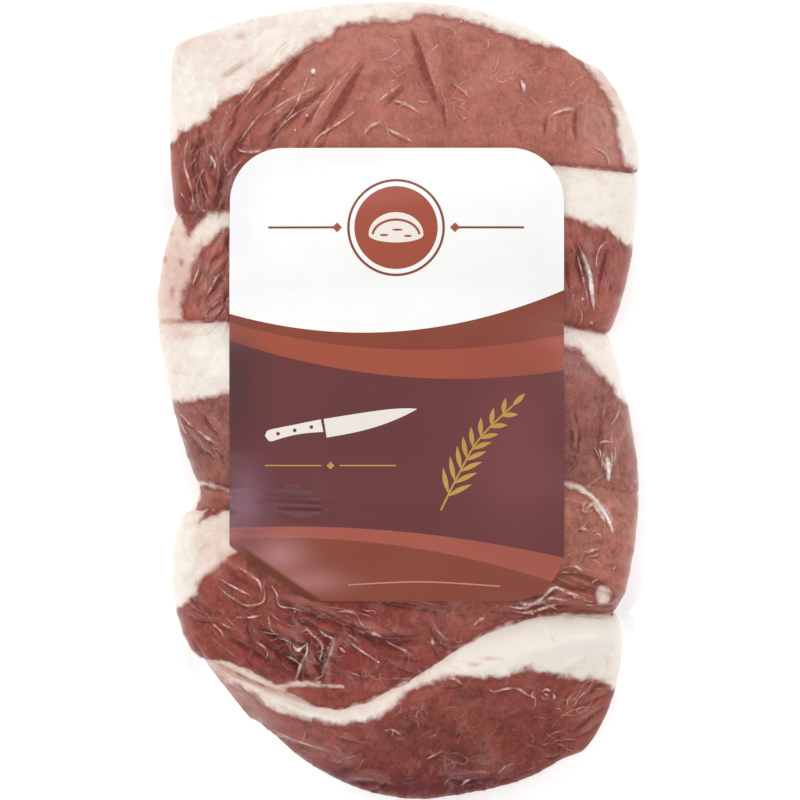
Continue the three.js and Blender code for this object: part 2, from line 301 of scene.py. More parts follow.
# Thin pleats in which the film has closed on itself, pale as milky film and painted highlight, the
# widest of them painted white glints: half width, then points along each.
PLEATS = [
    (0.24, (-55, 86), (-49, 94), (-46, 97)), (0.26, (-46, 96), (-37, 101), (-27, 106)),
    (0.2, (-52, 100), (-42, 109), (-33, 120)), (0.3, (-8, 100), (-4, 103), (1, 107)),
    (0.32, (-2, 101), (2, 100), (7, 97)), (0.34, (-12, 89), (-10, 92), (-6, 94)),
    (0.32, (-5, 92), (-1, 90), (5, 87)), (0.24, (-29, 85), (-27, 89), (-18, 95), (-13, 99)),
    (0.3, (-55, 86), (-53, 84), (-47, 84), (-41, 86)), (0.26, (-59, 75), (-56, 78), (-53, 81)),
    (0.2, (-71, 89), (-72, 80), (-69, 70)), (0.34, (-64, 83), (-62, 80), (-62, 78)),
    (0.2, (-12, 117), (-20, 107), (-27, 98), (-31, 88)), (0.2, (18, 107), (21, 105), (24, 102)),
    (0.34, (51, 96), (56, 98), (60, 98)), (0.2, (65, 86), (70, 83), (71, 79)),
    (0.38, (41, 108), (42, 106), (42.3, 104)), (0.24, (-70, 38), (-68, 42), (-67, 45)),
    (0.24, (-67, 31), (-62, 40), (-61, 42)), (0.26, (-63, 27), (-59, 32), (-57, 35)),
    (0.42, (61.5, 50), (64, 43), (65.5, 34), (66, 30)), (0.2, (60, 49), (62, 42), (64, 33)),
    (0.2, (74, 56), (68, 52), (66, 47), (67, 44)), (0.46, (70.1, -19), (70.6, -23), (70.4, -27.5)),
    (0.3, (69, -17.5), (69.6, -21.5), (69.8, -25.5)), (0.26, (67.8, -16.2), (68.6, -19.5), (69, -23)),
    (0.22, (66, -16), (67.2, -18), (68, -20.5)), (0.26, (71.2, -16.5), (71.6, -20), (71.4, -24)),
    (0.2, (72.3, -15.5), (72.6, -18.5), (72.3, -21.5)), (0.26, (74, -3), (73, -6), (71, -9)),
    (0.26, (68, -15), (69, -14), (72, -14)), (0.2, (-75, -3), (-71, -8), (-68, -9)),
    (0.34, (-68, -10), (-64, -13), (-60, -15)), (0.2, (-75, -5), (-73, -9), (-71, -13)),
    (0.26, (61, -36), (64, -33), (66, -34)), (0.34, (63, -37), (65, -35), (68, -36), (70, -39)),
    (0.26, (59, -44), (61, -43), (64, -44)), (0.26, (62, -51), (64, -51), (67, -50)),
    (0.26, (54.5, -56.5), (58, -55.8), (60.5, -56.5), (63, -59)),
    (0.22, (54.5, -58), (58, -58), (60.5, -58.3)), (0.26, (65, -62), (66, -61), (68, -60)),
    (0.72, (35, -67), (38, -66), (41, -67)), (0.34, (36, -69), (42, -70), (46, -68), (50, -66)),
    (0.24, (54, -65), (58, -65), (62, -67)), (0.24, (47, -66), (50, -69), (54, -71)),
    (0.3, (-54, -56), (-51, -58), (-47, -61), (-46, -65)), (0.24, (-60, -60), (-55, -63), (-49, -66)),
    (0.26, (-61, -62), (-59, -64), (-55, -67), (-51, -69), (-46, -68), (-45, -65), (-46, -61)),
    (0.24, (-43, -62), (-41, -65), (-40, -69), (-35, -70), (-29, -72)),
    (0.26, (-21, -71), (-17, -71), (-14, -72)), (0.34, (-12, -77), (-9, -78), (-6, -79)),
    (0.24, (-55, -73), (-50, -73), (-45, -72)), (0.2, (-61, -74), (-58, -76), (-55, -77)),
    (0.24, (-48, -81), (-45, -83), (-44, -85), (-45, -87)), (0.2, (-63, -75), (-60, -78), (-59, -80)),
    (0.3, (-32, -76), (-29, -79), (-26, -82), (-26, -85), (-27, -88)),
    (0.34, (-27, -77), (-25, -79), (-22, -81), (-23, -85), (-25, -90), (-26, -93), (-29, -94)),
    (0.32, (-29, -94), (-28, -95), (-26, -95)), (0.36, (-36, -82), (-34, -84), (-31, -82)),
    (0.34, (-31, -81), (-31, -85), (-33, -89), (-34, -92), (-35, -95)),
    (0.26, (-38, -86), (-35, -88), (-33, -90)), (0.26, (-17, -81), (-13, -84), (-7, -88)),
    (0.26, (-5, -80), (-3, -82), (3, -85), (3, -88), (2, -90)), (0.24, (-20, -83), (-18, -85)),
    (0.26, (30, -97), (32, -98), (36, -97), (40, -97), (43, -99), (47, -101)),
    (0.26, (60, -98), (57, -101), (57, -104)), (0.24, (16, -94), (19, -94), (22, -96)),
    (0.34, (25, -76), (27, -74), (29, -73)), (0.3, (11, -79.5), (11.2, -81), (11.6, -82.5)),
    (0.26, (-5, -111), (-2, -111), (1, -113)), (0.24, (9.5, -121.5), (12, -120), (15, -118.5)),
    (0.26, (-43, -111), (-34, -115), (-24, -118)), (0.26, (21, -131), (23, -129), (26, -128)),
    (0.35, (36, -68), (39, -66.5), (42, -68.5), (47, -67.5), (52, -63), (57, -65), (61, -66)),
    (0.32, (37, -70.5), (43, -71.5), (50, -70), (56, -68.5)),
    (0.3, (46, -69), (51, -66.5), (57, -67.5)), (0.28, (48, -98), (49.5, -97.3), (51, -98)),
    (0.3, (47.8, -99.5), (49, -100.8), (51, -100.5)),
    (0.28, (51.5, -98.5), (52.3, -99.8), (51.8, -101)),
    (0.26, (49, -98.8), (49.8, -99.3), (50.6, -99.6)), (0.2, (46, -97.5), (44.5, -99), (45.5, -100.5)),
    (0.2, (-57, 97), (-50, 105), (-47, 112)), (0.22, (-40, 93), (-34, 101), (-30, 112)),
    (0.2, (-44, 88), (-36, 96), (-26, 101)), (0.22, (62.3, -34.5), (61.7, -37.3), (64.6, -37.4)),
    (0.18, (62.6, -37.8), (63.5, -35.6), (65.6, -34.4)),
    (0.44, (65.2, -33), (68.3, -36.8), (70.7, -41.3), (71.8, -45)),
    (0.34, (64.4, -34.2), (67.2, -37.8), (69.4, -41.3)), (0.34, (66.3, -33), (69.8, -37), (71.7, -41)),
    (0.2, (59.5, -44), (62, -42.2), (63.6, -39.8)), (0.2, (63.6, -45.8), (65.4, -43.8), (66.4, -44.4)),
    (0.18, (63.8, -46.8), (66.6, -45), (67.8, -45.8)), (0.24, (63, -51.8), (65, -50.4), (68, -50.3)),
    (0.18, (63.3, -53), (66, -52.4), (67.6, -51.6)), (0.24, (72, -57.3), (73.2, -55.7)),
    (0.2, (54.7, -65.4), (58.1, -65.3), (59.4, -66.5), (61.8, -66.3), (64, -67.8)),
    (0.22, (-72.4, 81.6), (-71.8, 78.5), (-70, 71), (-69.6, 65.5)), (0.2, (-74, 70.5), (-71.5, 66.5)),
]
# Beads of air and juice caught under the film, each a painted glint with painted shade beside it:
# radius and place.
BEADS = [
    (0.9, -29, 111), (0.4, -39, 105), (0.4, -35, 91), (0.5, -31, 96), (0.4, -41, 110), (0.4, -61, 101),
    (0.4, -60, 98), (0.3, -58, 97), (0.4, -57, 99), (0.5, 22, 95), (0.4, 21, 128), (0.4, -70, 65),
    (0.4, -66, 64), (0.5, 62, 34), (0.5, 65, 26), (0.4, 69, 22), (0.5, -66, -38), (0.5, -7, -88),
    (0.4, -6, -92), (0.4, -35, -71), (0.4, -62, -76), (0.5, 57, -52), (0.4, 33, -69), (0.4, 45, -72),
    (0.3, 59, -58),
]
# How pale a pleat and a bead show, as milky film and painted highlight, and how dark and how wide
# the painted shade in the hollow beside each is.
PLEAT_LOOK, BEAD_LOOK = (1, 0.7, 1), (1, 0.9, 0.8)
# The least and the most of a random pleat: half width, how pale, how dark its painted shade. Its
# hollow is so wide.
FAN_LOOKS = ([0.09, 0.15, 0.1], [0.18, 0.75, 0.5])
FAN_HOLLOW = 0.9
PLEAT_POINTS = 21
PLEAT_SEED = 21


def smooth_line(points, count):
    """A smooth line through points, as `count` points at even shares of it."""
    stations = np.array(points, float)
    share = np.linspace(0, 1, count)
    return np.stack([through(stations[:, 0], share), through(stations[:, 1], share)], 1)


def fan_chords(random, fan, count):
    """Middles, half chords and bows of lines that are drawn at random in a fan."""
    x, y, reach_x, reach_y, direction, stray, _, _, length, _, _ = fan
    middle = np.array([x, y]) + random.uniform(-1, 1, (count, 2)) * [reach_x, reach_y]
    angle = np.radians(direction + random.normal(0, stray, count))
    half = length * random.uniform(0.3, 0.8, count)
    along = np.stack([np.cos(angle), np.sin(angle)], 1) * half[:, None]
    return middle, along, half * random.normal(0, 0.12, count)


def fold_list():
    """The named folds, and those of the fans, as lines of one array."""
    random = np.random.default_rng(FOLD_SEED)
    drawn = [np.array(FOLDS, float)]
    for fan in FANS:
        middle, along, bow = fan_chords(random, fan, fan[6])
        size = random.uniform(0.6, 1.3, (fan[6], 2)) * fan[9:]
        drawn.append(np.column_stack([middle - along, middle + along, bow, size]))
    return np.concatenate(drawn)


def fold_heights(x, y):
    """The folds' ridges and their valleys, summed, in millimetres. On a fold, t runs from 0 to 1 along
    its chord and d is the distance to the left of its arc, which is a parabola. The ridge is a bell in
    d, the valley another to its right, and both fade and narrow by a half sine in t."""
    ridge, valley = np.zeros(x.shape), np.zeros(x.shape)
    for x0, y0, x1, y1, bow, width, height in fold_list():
        length = np.hypot(x1 - x0, y1 - y0)
        reach = length / 2 + 4 * width
        near = (np.abs(x - (x0 + x1) / 2) < reach) & (np.abs(y - (y0 + y1) / 2) < reach)
        along, left = np.array([x1 - x0, y1 - y0]) / length, np.array([y0 - y1, x1 - x0]) / length
        dx, dy = x[near] - x0, y[near] - y0
        t = np.clip((dx * along[0] + dy * along[1]) / length, 0, 1)
        d = dx * left[0] + dy * left[1] - 4 * bow * t * (1 - t)
        fade = height * np.sin(np.pi * t) ** 0.8
        thin = width * (0.45 + 0.55 * np.sin(np.pi * t))
        ridge[near] += fade * np.exp(-((d / thin) ** 2))
        out = (d + VALLEY_OUT * thin) / (VALLEY_WIDTH * thin)
        valley[near] += VALLEY_DEPTH * fade * np.exp(-(out**2))
    return ridge, valley


def unit(vectors):
    return vectors / np.maximum(np.linalg.norm(vectors, axis=-1, keepdims=True), 1e-9)


def to_left(steps):
    """The directions to the left of steps across the plan."""
    return unit(steps) @ [[0, 1], [-1, 0]]


def pleat_lines():
    """Every line in which the film creases, as PLEAT_POINTS points, and its half width, how pale it
    shows, which is milky film and painted highlight, and how dark and how wide the painted shade in
    the hollow beside it is. They are the named pleats, the beads as short lines, the feet of the folds,
    and pleats drawn at random in the fans, each a chord that bows and waves. Of the last two kinds,
    those that would leave the pack or pass beneath the label are dropped."""
    lines = [smooth_line(points, PLEAT_POINTS) for _, *points in PLEATS]
    looks = [(width, *PLEAT_LOOK) for width, *_ in PLEATS]
    t = np.linspace(-1, 1, PLEAT_POINTS)[:, None]
    for radius, x, y in BEADS:
        lines.append(np.array([x, y]) + [radius, 0.3 * radius] * t)
        looks.append((0.7 * radius, *BEAD_LOOK))
    named = len(lines)
    for x0, y0, x1, y1, bow, width, height in fold_list():
        middle, along = np.array([x0 + x1, y0 + y1]) / 2, np.array([x1 - x0, y1 - y0]) / 2
        lines.append(middle + along * t + to_left(along) * (bow * (1 - t * t) - width))
        looks.append((0.12 + 0.05 * width, 0.25 * height, min(0.7 * height, 0.7), 1 + 0.3 * width))
    random = np.random.default_rng(PLEAT_SEED)
    for fan in FANS:
        for middle, along, bow in zip(*fan_chords(random, fan, fan[7])):
            turns = np.pi * (random.uniform(0.6, 1.6) * t + random.uniform(0, 2))
            wave = random.normal(0, 0.6) * np.sin(turns)
            lines.append(middle + along * t + to_left(along) * (2 * bow * (1 - t * t) + wave))
            looks.append((*random.uniform(*FAN_LOOKS), FAN_HOLLOW))
    lines, looks = np.array(lines), np.array(looks)
    u, s = find_place(lines[..., 0], lines[..., 1])
    inside = (np.minimum(u, 1 - u) > 0.02) & (np.minimum(s, SLICES - s) > 0.06)
    bare = under_label(lines[..., 0], lines[..., 1]) < 0.05
    kept = (inside & bare).all(1)
    kept[:named] = True
    return lines[kept], looks[kept]


def line_distance(x, y, points):
    """Distance from a bent line, above 0 on its left as it is walked, and the share along the line of
    its nearest point."""
    nearest, share = np.full(x.shape, 1e9), np.zeros(x.shape)
    steps = len(points) - 1
    for i in range(steps):
        (x0, y0), (x1, y1) = points[i], points[i + 1]
        ahead, aside = x1 - x0, y1 - y0
        t = np.clip(((x - x0) * ahead + (y - y0) * aside) / (ahead**2 + aside**2), 0, 1)
        d = np.hypot(x - mix(x0, x1, t), y - mix(y0, y1, t))
        closer = d < np.abs(nearest)
        share = np.where(closer, (i + t) / steps, share)
        nearest = np.where(closer, np.where(ahead * (y - y0) < aside * (x - x0), -d, d), nearest)
    return nearest, share


def pleat_shade(x, y):
    """Painted shade in the hollows on the right of all these lines, the darkest at each place: a bell a
    little way out from the line, that fades by a half sine along it."""
    shade = np.zeros(x.shape)
    for line, (width, _, dark, hollow) in zip(*pleat_lines()):
        low, high = line.min(0) - 3, line.max(0) + 3
        near = (x > low[0]) & (x < high[0]) & (y > low[1]) & (y < high[1])
        d, t = line_distance(x[near], y[near], line[::2])
        out = (d + 1.2 * width + 0.45 * hollow) / (0.35 * width + 0.55 * hollow)
        dip = 0.8 * dark * np.exp(-(out**2)) * np.sin(np.pi * t) ** 0.6
        shade[near] = np.maximum(shade[near], dip)
    return shade


def under_label(x, y):
    """1 beneath the label and 0 away from it."""
    from_sides = np.minimum(x - LABEL_LEFT, LABEL_RIGHT - x)
    from_ends = np.minimum(y - LABEL_BOTTOM, LABEL_TOP - y)
    return smooth(np.minimum(from_sides, from_ends), 0, 4)


# Hills of the surface, and pleats that run in from its rim: height, width and seed. The width of a
# pleat is in radians round the pack.
HILLS = [(0.45, 22, 1), (0.16, 7, 2)]
RIM_PLEATS = [(1, 0.045, 3), (0.6, 0.02, 4)]
RIM_PLEAT_HEIGHT = 0.18
# The shares of the hills and of the folds that the label presses flat.
HILLS_PRESSED, FOLDS_PRESSED = 0.85, 0.9
PACK_SLIMNESS = 0.6  # its width over its length


def relief(u, s, nick):
    """How far the surface stands out square to its plain form: soft hills, the folds, the pleats that
    run in from the rim, and the nick between two slices. It is 0 on the rim, where two halves meet."""
    x, y = place(u, s)
    full = fullness(u, s)
    ridge, valley = fold_heights(x, y)
    hills = sum(height * ripple(x, y, size, seed) for height, size, seed in HILLS)
    hills *= 1 - HILLS_PRESSED * under_label(x, y)
    folds = (ridge - valley) * (1 - FOLDS_PRESSED * under_label(x, y))
    angle = np.arctan2(y * PACK_SLIMNESS, x)
    pleats = sum(height * ripple(angle, 0 * angle, size, seed) for height, size, seed in RIM_PLEATS)
    pleats *= RIM_PLEAT_HEIGHT * smooth(full, 0, 0.3) * (1 - smooth(full, 0.3, 0.75))
    bottom = nick * np.exp(-row_distance(u, s) / CREASE_WIDTH) * crease_share(x, y)
    return (hills + folds - bottom) * smooth(full, 0.1, 0.7) + pleats


def normals(points):
    """The directions square to a grid of points, out of its front: the cross product of the step down
    to the next row and the step to the right to the next column."""
    down, right = np.gradient(points, axis=(0, 1))
    return unit(np.cross(down, right))


def grid_faces(rows, columns):
    """The quads of a grid whose rows follow each other down and its columns to the right, seen from the
    front."""
    corner = np.arange((rows - 1) * columns).reshape(rows - 1, columns)[:, :-1].ravel()
    return np.stack([corner, corner + columns, corner + columns + 1, corner + 1], 1)


def border(rows, columns):
    """The indices round a grid, counterclockwise seen from the front."""
    index = np.arange(rows * columns).reshape(rows, columns)
    return np.concatenate([index[:-1, 0], index[-1, :-1], index[:0:-1, -1], index[0, :0:-1]])


def two_sided(front, back):
    """The closed skin between two grids of points, with a wall from border to border."""
    rows, columns = front.shape[:2]
    points = np.concatenate([front.reshape(-1, 3), back.reshape(-1, 3)])
    faces = grid_faces(rows, columns)
    behind = faces[:, ::-1] + rows * columns
    edge = border(rows, columns)
    ahead = np.roll(edge, -1)
    wall = np.stack([edge, edge + rows * columns, ahead + rows * columns, ahead], 1)
    return points, np.concatenate([faces, behind, wall])


def pack_skin(top, base):
    """The closed skin of the pack: the top's quads, and a base with one face for each block of them,
    whose faces along the rim take in every point of the rim."""
    rows, columns = top.shape[:2]
    size = BASE_BLOCK
    inner = base[size:-1:size, size:-1:size]
    under = np.arange(rows * columns).reshape(rows, columns)
    numbers = rows * columns + np.arange(inner[..., 0].size)
    under[size:-1:size, size:-1:size] = numbers.reshape(inner.shape[:2])
    corner = under[::size, ::size]
    blocks = np.stack([corner[:-1, 1:], corner[1:, 1:], corner[1:, :-1], corner[:-1, :-1]], 2)
    faces = [grid_faces(rows, columns), blocks[1:-1, 1:-1].reshape(-1, 4)]
    down, right = rows - 1 - size, columns - 1 - size
    edge = [(i, j) for i in range(0, rows - 1, size) for j in (0, right)]
    edge += [(i, j) for i in (0, down) for j in range(size, right, size)]
    for i, j in edge:
        left = under[i : i + size if j == 0 else i + 1, j]
        foot = under[i + size, j : j + size if i == down else j + 1]
        side = under[i + size : i if j == right else i + size - 1 : -1, j + size]
        head = under[i, j + size : j if i == 0 else j + size - 1 : -1]
        faces.append(np.concatenate([left, foot, side, head])[None, ::-1])
    return np.concatenate([top.reshape(-1, 3), inner.reshape(-1, 3)]), faces


def put(name, data):
    """An object in the scene, at the origin, for a mesh, a lamp or a camera."""
    made = bpy.data.objects.new(name, data)
    bpy.context.scene.collection.objects.link(made)
    return made


def piece(name, points, *faces):
    """A mesh object from points in millimetres of the plan and arrays of faces."""
    mesh = bpy.data.meshes.new(name)
    metres = (np.asarray(points).reshape(-1, 3) + [*PLAN_SHIFT, 0]) / 1000
    mesh.from_pydata(metres, [], [face for array in faces for face in array.tolist()])
    mesh.shade_smooth()
    return put(name, mesh)


def plan_points(thing):
    """X and Y of a mesh object's points, back in millimetres of the plan."""
    flat = np.empty(len(thing.data.vertices) * 3, np.float32)
    thing.data.vertices.foreach_get("co", flat)
    return flat.reshape(-1, 3)[:, :2].astype(float) * 1000 - PLAN_SHIFT


def cosine_steps(count):
    return (1 - np.cos(np.pi * np.arange(count + 1) / count)) / 2


def counts_along(steps):
    """Counts along the pack: even steps in each slice, but closer towards the pack's two ends."""
    counts = [k + np.arange(n) / n for k, n in enumerate(steps)]
    counts[0] = 1 - np.cos(np.pi / 2 * counts[0])
    counts[-1] = SLICES - 1 + np.sin(np.pi / 2 * (counts[-1] - SLICES + 1))
    return np.append(np.concatenate(counts), SLICES)


def base_share(u, s):
    """How much of the relief the underside has: none where it lies flat, and all on the walls."""
    return smooth(underside(u, s), 0, WALL_FROM)


def whole_pack(u, s):
    """The top and the underside over a grid of shares and counts, with their relief."""
    x, y = place(u, s)
    top = np.stack([x, y, tops(u, s)], 2)
    base = np.stack([x, y, underside(u, s)], 2)
    out = relief(u, s, CREASE_DEPTH)
    wall = out * base_share(u, s)
    return top + normals(top) * out[..., None], base - normals(base) * wall[..., None]


def wall_block(lines, far):
    """A closed block from an upright wall of points to the plane Y = far."""
    plane = lines.copy()
    plane[..., 1] = far
    front, back = (plane, lines) if far < 0 else (lines, plane)
    return two_sided(front, back)


def cut(thing, block, operation, name):
    """What a block leaves of a piece, or takes out of it, as a new piece."""
    modifier = thing.modifiers.new("cut", "BOOLEAN")
    modifier.object = block
    modifier.operation = operation
    modifier.solver = "MANIFOLD"
    graph = bpy.context.evaluated_depsgraph_get()
    mesh = bpy.data.meshes.new_from_object(thing.evaluated_get(graph))
    thing.modifiers.remove(modifier)
    return put(name, mesh)


def drop(*things):
    for thing in things:
        mesh = thing.data
        bpy.data.objects.remove(thing)
        bpy.data.meshes.remove(mesh)


def lap_wall(k):
    """The face on which slice k lies: from the row's line, which wanders a little, it leans back under
    the top as it goes down, by a fifth of the depth plus the lap times a power of the depth's share."""
    levels = np.array([60, 44, 38, 32, 26, 20, 15, 10, 6, 3, 0, -5.0])[:, None]
    shares = np.linspace(-0.15, 1.15, 200)[None, :]
    inside = np.clip(shares, 0, 1)
    s = np.full(inside.shape, float(k))
    left, right = sides(s)
    depth = tops(inside, s) - levels
    middle_height = through(ROW_HEIGHTS, np.array(0.5))
    run = EDGE_LEAN * depth + LAPS[k] * (np.maximum(depth, 0) / middle_height) ** LAP_BEND
    x = mix(left, right, shares)
    wander = ROW_WANDER * ripple(x, 0 * x, 5, 50 + k)
    return np.stack(np.broadcast_arrays(x, place(inside, s)[1] - run + wander, levels), 2)


def fat_line(k, steps):
    """The border of a fat cap as a smooth line, with so many points for each that it is given by."""
    return smooth_line(FAT_EDGES[k], steps * len(FAT_EDGES[k]))


def fat_wall(k):
    """The face between a fat cap and its lean, which leans back like the slice's own face at its top."""
    line = fat_line(k, 8)
    levels = np.array([60, 40, 20, -5.0])[:, None]
    depth = tops(*find_place(line[:, 0], line[:, 1])) - levels
    return np.stack(np.broadcast_arrays(line[:, 0], line[:, 1] - EDGE_LEAN * depth, levels), 2)


FAR = 200  # past either end of the pack
shares, counts = np.meshgrid(cosine_steps(ACROSS), counts_along(ALONG))
points, faces = pack_skin(*whole_pack(shares, counts))
rest = piece("rest", points, *faces)
slices = {}
for k in range(SLICES - 1, 0, -1):
    block = piece("block", *wall_block(lap_wall(k), -FAR))
    slices[k + 1] = cut(rest, block, "INTERSECT", f"slice_{k + 1}")
    shorter = cut(rest, block, "DIFFERENCE", "rest")
    drop(rest, block)
    rest = shorter
slices[1] = rest

leans, fats = {}, {}
for k, whole in slices.items():
    if k not in FAT_EDGES:
        whole.name = f"lean_meat_{k}"
        leans[k] = whole
        continue
    block = piece("block", *wall_block(fat_wall(k), FAR))
    fats[k] = cut(whole, block, "INTERSECT", f"fat_cap_{k}")
    leans[k] = cut(whole, block, "DIFFERENCE", f"lean_meat_{k}")
    drop(whole, block)


# What shows on each slice: a tone of lean for each, with darker and lighter places. A place is its
# middle, its reach in X and Y, its tone and how much of it shows.
TONES = {
    "rosy": "#b17163", "pale": "#bf8578", "rose": "#a36259", "dusty": "#98635b", "tan": "#a86b5d",
    "brown": "#95524a", "deep": "#7d443c", "plum": "#683439", "wine": "#73292b", "umber": "#84574c",
}
SLICE_TONES = {1: "rosy", 2: "rose", 3: "dusty", 4: "tan", 5: "brown", 6: "brown"}
GRAINS = {1: 0.65, 2: 0.95, 3: 0.95, 4: 0.85, 5: 1.0, 6: 1.0}  # how strong each lean is mottled
PLACES = [
    (-68, 74, 15, 18, "brown", 0.95), (-50, 92, 14, 14, "brown", 0.7), (-72, 66, 8, 10, "deep", 0.6),
    (71, -43, 11, 13, "pale", 0.85), (-76.5, 74, 2.5, 9, "pale", 0.8), (-60, -22, 14, 9, "umber", 0.6),
    (-64, 74, 12, 14, "wine", 0.6), (17, 104, 3, 14, "brown", 0.6), (18, 128, 18, 4, "pale", 0.5),
    (68, 92, 9, 14, "pale", 0.8), (75, -14, 7, 18, "pale", 0.35), (68, -48, 16, 14, "rosy", 0.9),
    (-62, -34, 12, 6, "brown", 0.45), (-38, -84, 12, 8, "wine", 0.9), (-18, -70, 22, 5, "wine", 0.6),
    (-22, -84, 26, 9, "wine", 0.55), (60, -66, 16, 5, "tan", 0.4), (0, -78, 10, 4, "deep", 0.4),
    (20, -73, 10, 6, "tan", 0.5), (66, -10, 8, 6, "tan", 0.5), (66, 44, 8, 8, "brown", 0.4),
    (-66, 42, 5, 10, "tan", 0.5), (10, -118, 30, 14, "deep", 0.85), (10, -130, 44, 6, "plum", 0.9),
    (46, -112, 22, 12, "deep", 0.6), (66, -108, 7, 8, "tan", 0.6), (-22, -127, 9, 5, "plum", 0.6),
    (-55, -107, 11, 11, "tan", 0.85),
]
# Fat is cream, and pink where it is thin or stained. A stain is its middle, its reach and its share,
# which is below 0 where the fat is whiter.
STAINS = [
    (-76, 44, 9, 22, 1.1), (-73.5, 46.5, 0.9, 1.2, 0.9), (-76.5, 36.3, 1, 2.2, 0.7),
    (-77.3, 56.5, 1, 1, 0.7), (-79.5, 47.5, 1, 1.5, 0.6), (-72, 22, 4, 1.5, 0.6),
    (-62, -93, 12, 5, 1.1), (-30, -96, 14, 2.5, 0.8), (-56, 112, 14, 10, 0.3), (73, 112, 8, 14, 0.7),
    (-68, 122, 10, 5, 0.4), (-61, -47, 9, 8, 0.8), (70, -70, 8, 4, 0.4), (-54, 123.5, 2, 1.2, 1.0),
    (-66, 92, 2.2, 2.2, 1.4), (64, 22, 8, 6, 0.2), (25.5, -89, 2.5, 0.8, 1.1), (31, -87, 3, 0.7, 1.1),
    (-30, 126, 12, 6, 0.3), (10, 132, 14, 3, 0.5), (42, -80, 26, 10, -0.35),
]
# Short strands of fat apart from the caps: points along each, and the half width in its middle.
FAT_STRANDS = [
    ([(-72, -28), (-64, -28.5), (-56, -31)], 0.7), ([(53, -27.5), (60, -29), (66, -33)], 0.8),
    ([(64.5, -32.5), (67, -35), (69.3, -39)], 0.6),
    ([(-46, -99), (-41, -96.8), (-34, -95.4), (-27, -95.8), (-19, -96.6)], 0.85),
    ([(-54, -94.5), (-44, -98), (-37, -100), (-29, -103)], 1.4),
    ([(-65, -88.5), (-58, -90), (-51, -92.5), (-44, -95.8), (-38, -98)], 1.5),
    ([(-68.3, -29.5), (-69.4, -34), (-71.5, -39.5), (-73, -44)], 1.9),
]
FAT_SPOTS = [(69, -66, 2.4, 3)]  # middle, and reach in X and Y
# Wedges of lean in a cap: from the wide end to the tip, and half the width of the wide end.
LEAN_WEDGES = [([(-69.5, 67), (-71, 56)], 8), ([(-62.5, -36.5), (-67.4, -41.2)], 2.8)]
MEAT_EDGE = 62  # degrees from which a bend is sharp
FATTEST = 9.0  # how far into the fat or the lean is still told
# The fatness on the edge between two slices, and how it changes for each millimetre: of a slice's own
# fat inwards, and of the next slice's fat that runs over it.
EDGE_FAT, EDGE_GAIN = 0.9, 3
OVERRUN_FAT, OVERRUN_LOSS = -0.3, 1.3
ROW_STAIN, ROW_STAIN_WIDTH = 0.6, 1.1  # along the edges between slices
NICK_SHADE, NICK_SHADE_WIDTH = 0.45, 1.2
HAZE = 0.026  # what the film's shine adds over the meat, taken off its colours
LIGHT = 0.93  # how bright white paper comes out in this light


def linear(colour):
    """Red, green and blue from a colour code, as amounts of light."""
    shown = np.array([int(colour[i : i + 2], 16) for i in (1, 3, 5)]) / 255
    return np.where(shown <= 0.04045, shown / 12.92, ((shown + 0.055) / 1.055) ** 2.4)


def under_film(colour):
    """The surface colour that shows as `colour` through the film."""
    return np.maximum((linear(colour) - HAZE) / LIGHT, 0.004)


def lean_tone(x, y, k):
    tone = np.tile(under_film(TONES[SLICE_TONES[k]]), (len(x), 1))
    for *spot, name, strength in PLACES:
        tone = mix(tone, under_film(TONES[name]), (strength * bell(x, y, *spot))[:, None])
    return tone


def inside_oval(x, y, oval):
    """Millimetres or so inside an oval, and below 0 outside."""
    middle_x, middle_y, reach_x, reach_y = oval
    return reach_x * (1 - np.hypot((x - middle_x) / reach_x, (y - middle_y) / reach_y))


def fatness(x, y, u, k):
    """Millimetres into the fat, and below 0 in the lean. The fat of the next slice runs a little over
    the edge between the two, and this slice's own fat thins out there, so that the edge is ragged."""
    depth = np.full(x.shape, -FATTEST)
    if k in FAT_EDGES:
        depth = line_distance(x, y, fat_line(k, 3))[0]
    for points, width in FAT_STRANDS:
        d, t = line_distance(x, y, points)
        taper = np.sqrt(np.sin(np.pi * t**0.6).clip(0.05))
        depth = np.maximum(depth, 2 * (width * taper - np.abs(d)))
    for oval in FAT_SPOTS:
        depth = np.maximum(depth, 1.4 * inside_oval(x, y, oval))
    if k > 1:
        depth = np.minimum(depth, EDGE_FAT + EDGE_GAIN * (through(ROW_Y, u, k - 1) - y))
    if k + 1 in FAT_EDGES:
        row = through(ROW_Y, u, k)
        cap = smooth(row - np.interp(x, *fat_line(k + 1, 8).T), 0.5, 2.5)
        depth = np.maximum(depth, mix(-FATTEST, OVERRUN_FAT - OVERRUN_LOSS * (y - row), cap))
    for points, width in LEAN_WEDGES:
        d, t = line_distance(x, y, points)
        depth = np.minimum(depth, np.abs(d) - width * (1 - t))
    return np.clip(depth, -FATTEST, FATTEST)


def keep(thing, name, values):
    """Keeps a number at each of a mesh's points, for its material to read."""
    made = thing.data.attributes.new(name, "FLOAT", "POINT")
    made.data.foreach_set("value", np.ascontiguousarray(values, np.float32).ravel())


def keep_colours(thing, name, colours, domain="POINT"):
    """Keeps an opaque colour at each point, or at each corner of each face."""
    made = thing.data.attributes.new(name, "FLOAT_COLOR", domain)
    opaque = np.column_stack([colours, np.ones(len(colours))])
    made.data.foreach_set("color", opaque.astype(np.float32).ravel())


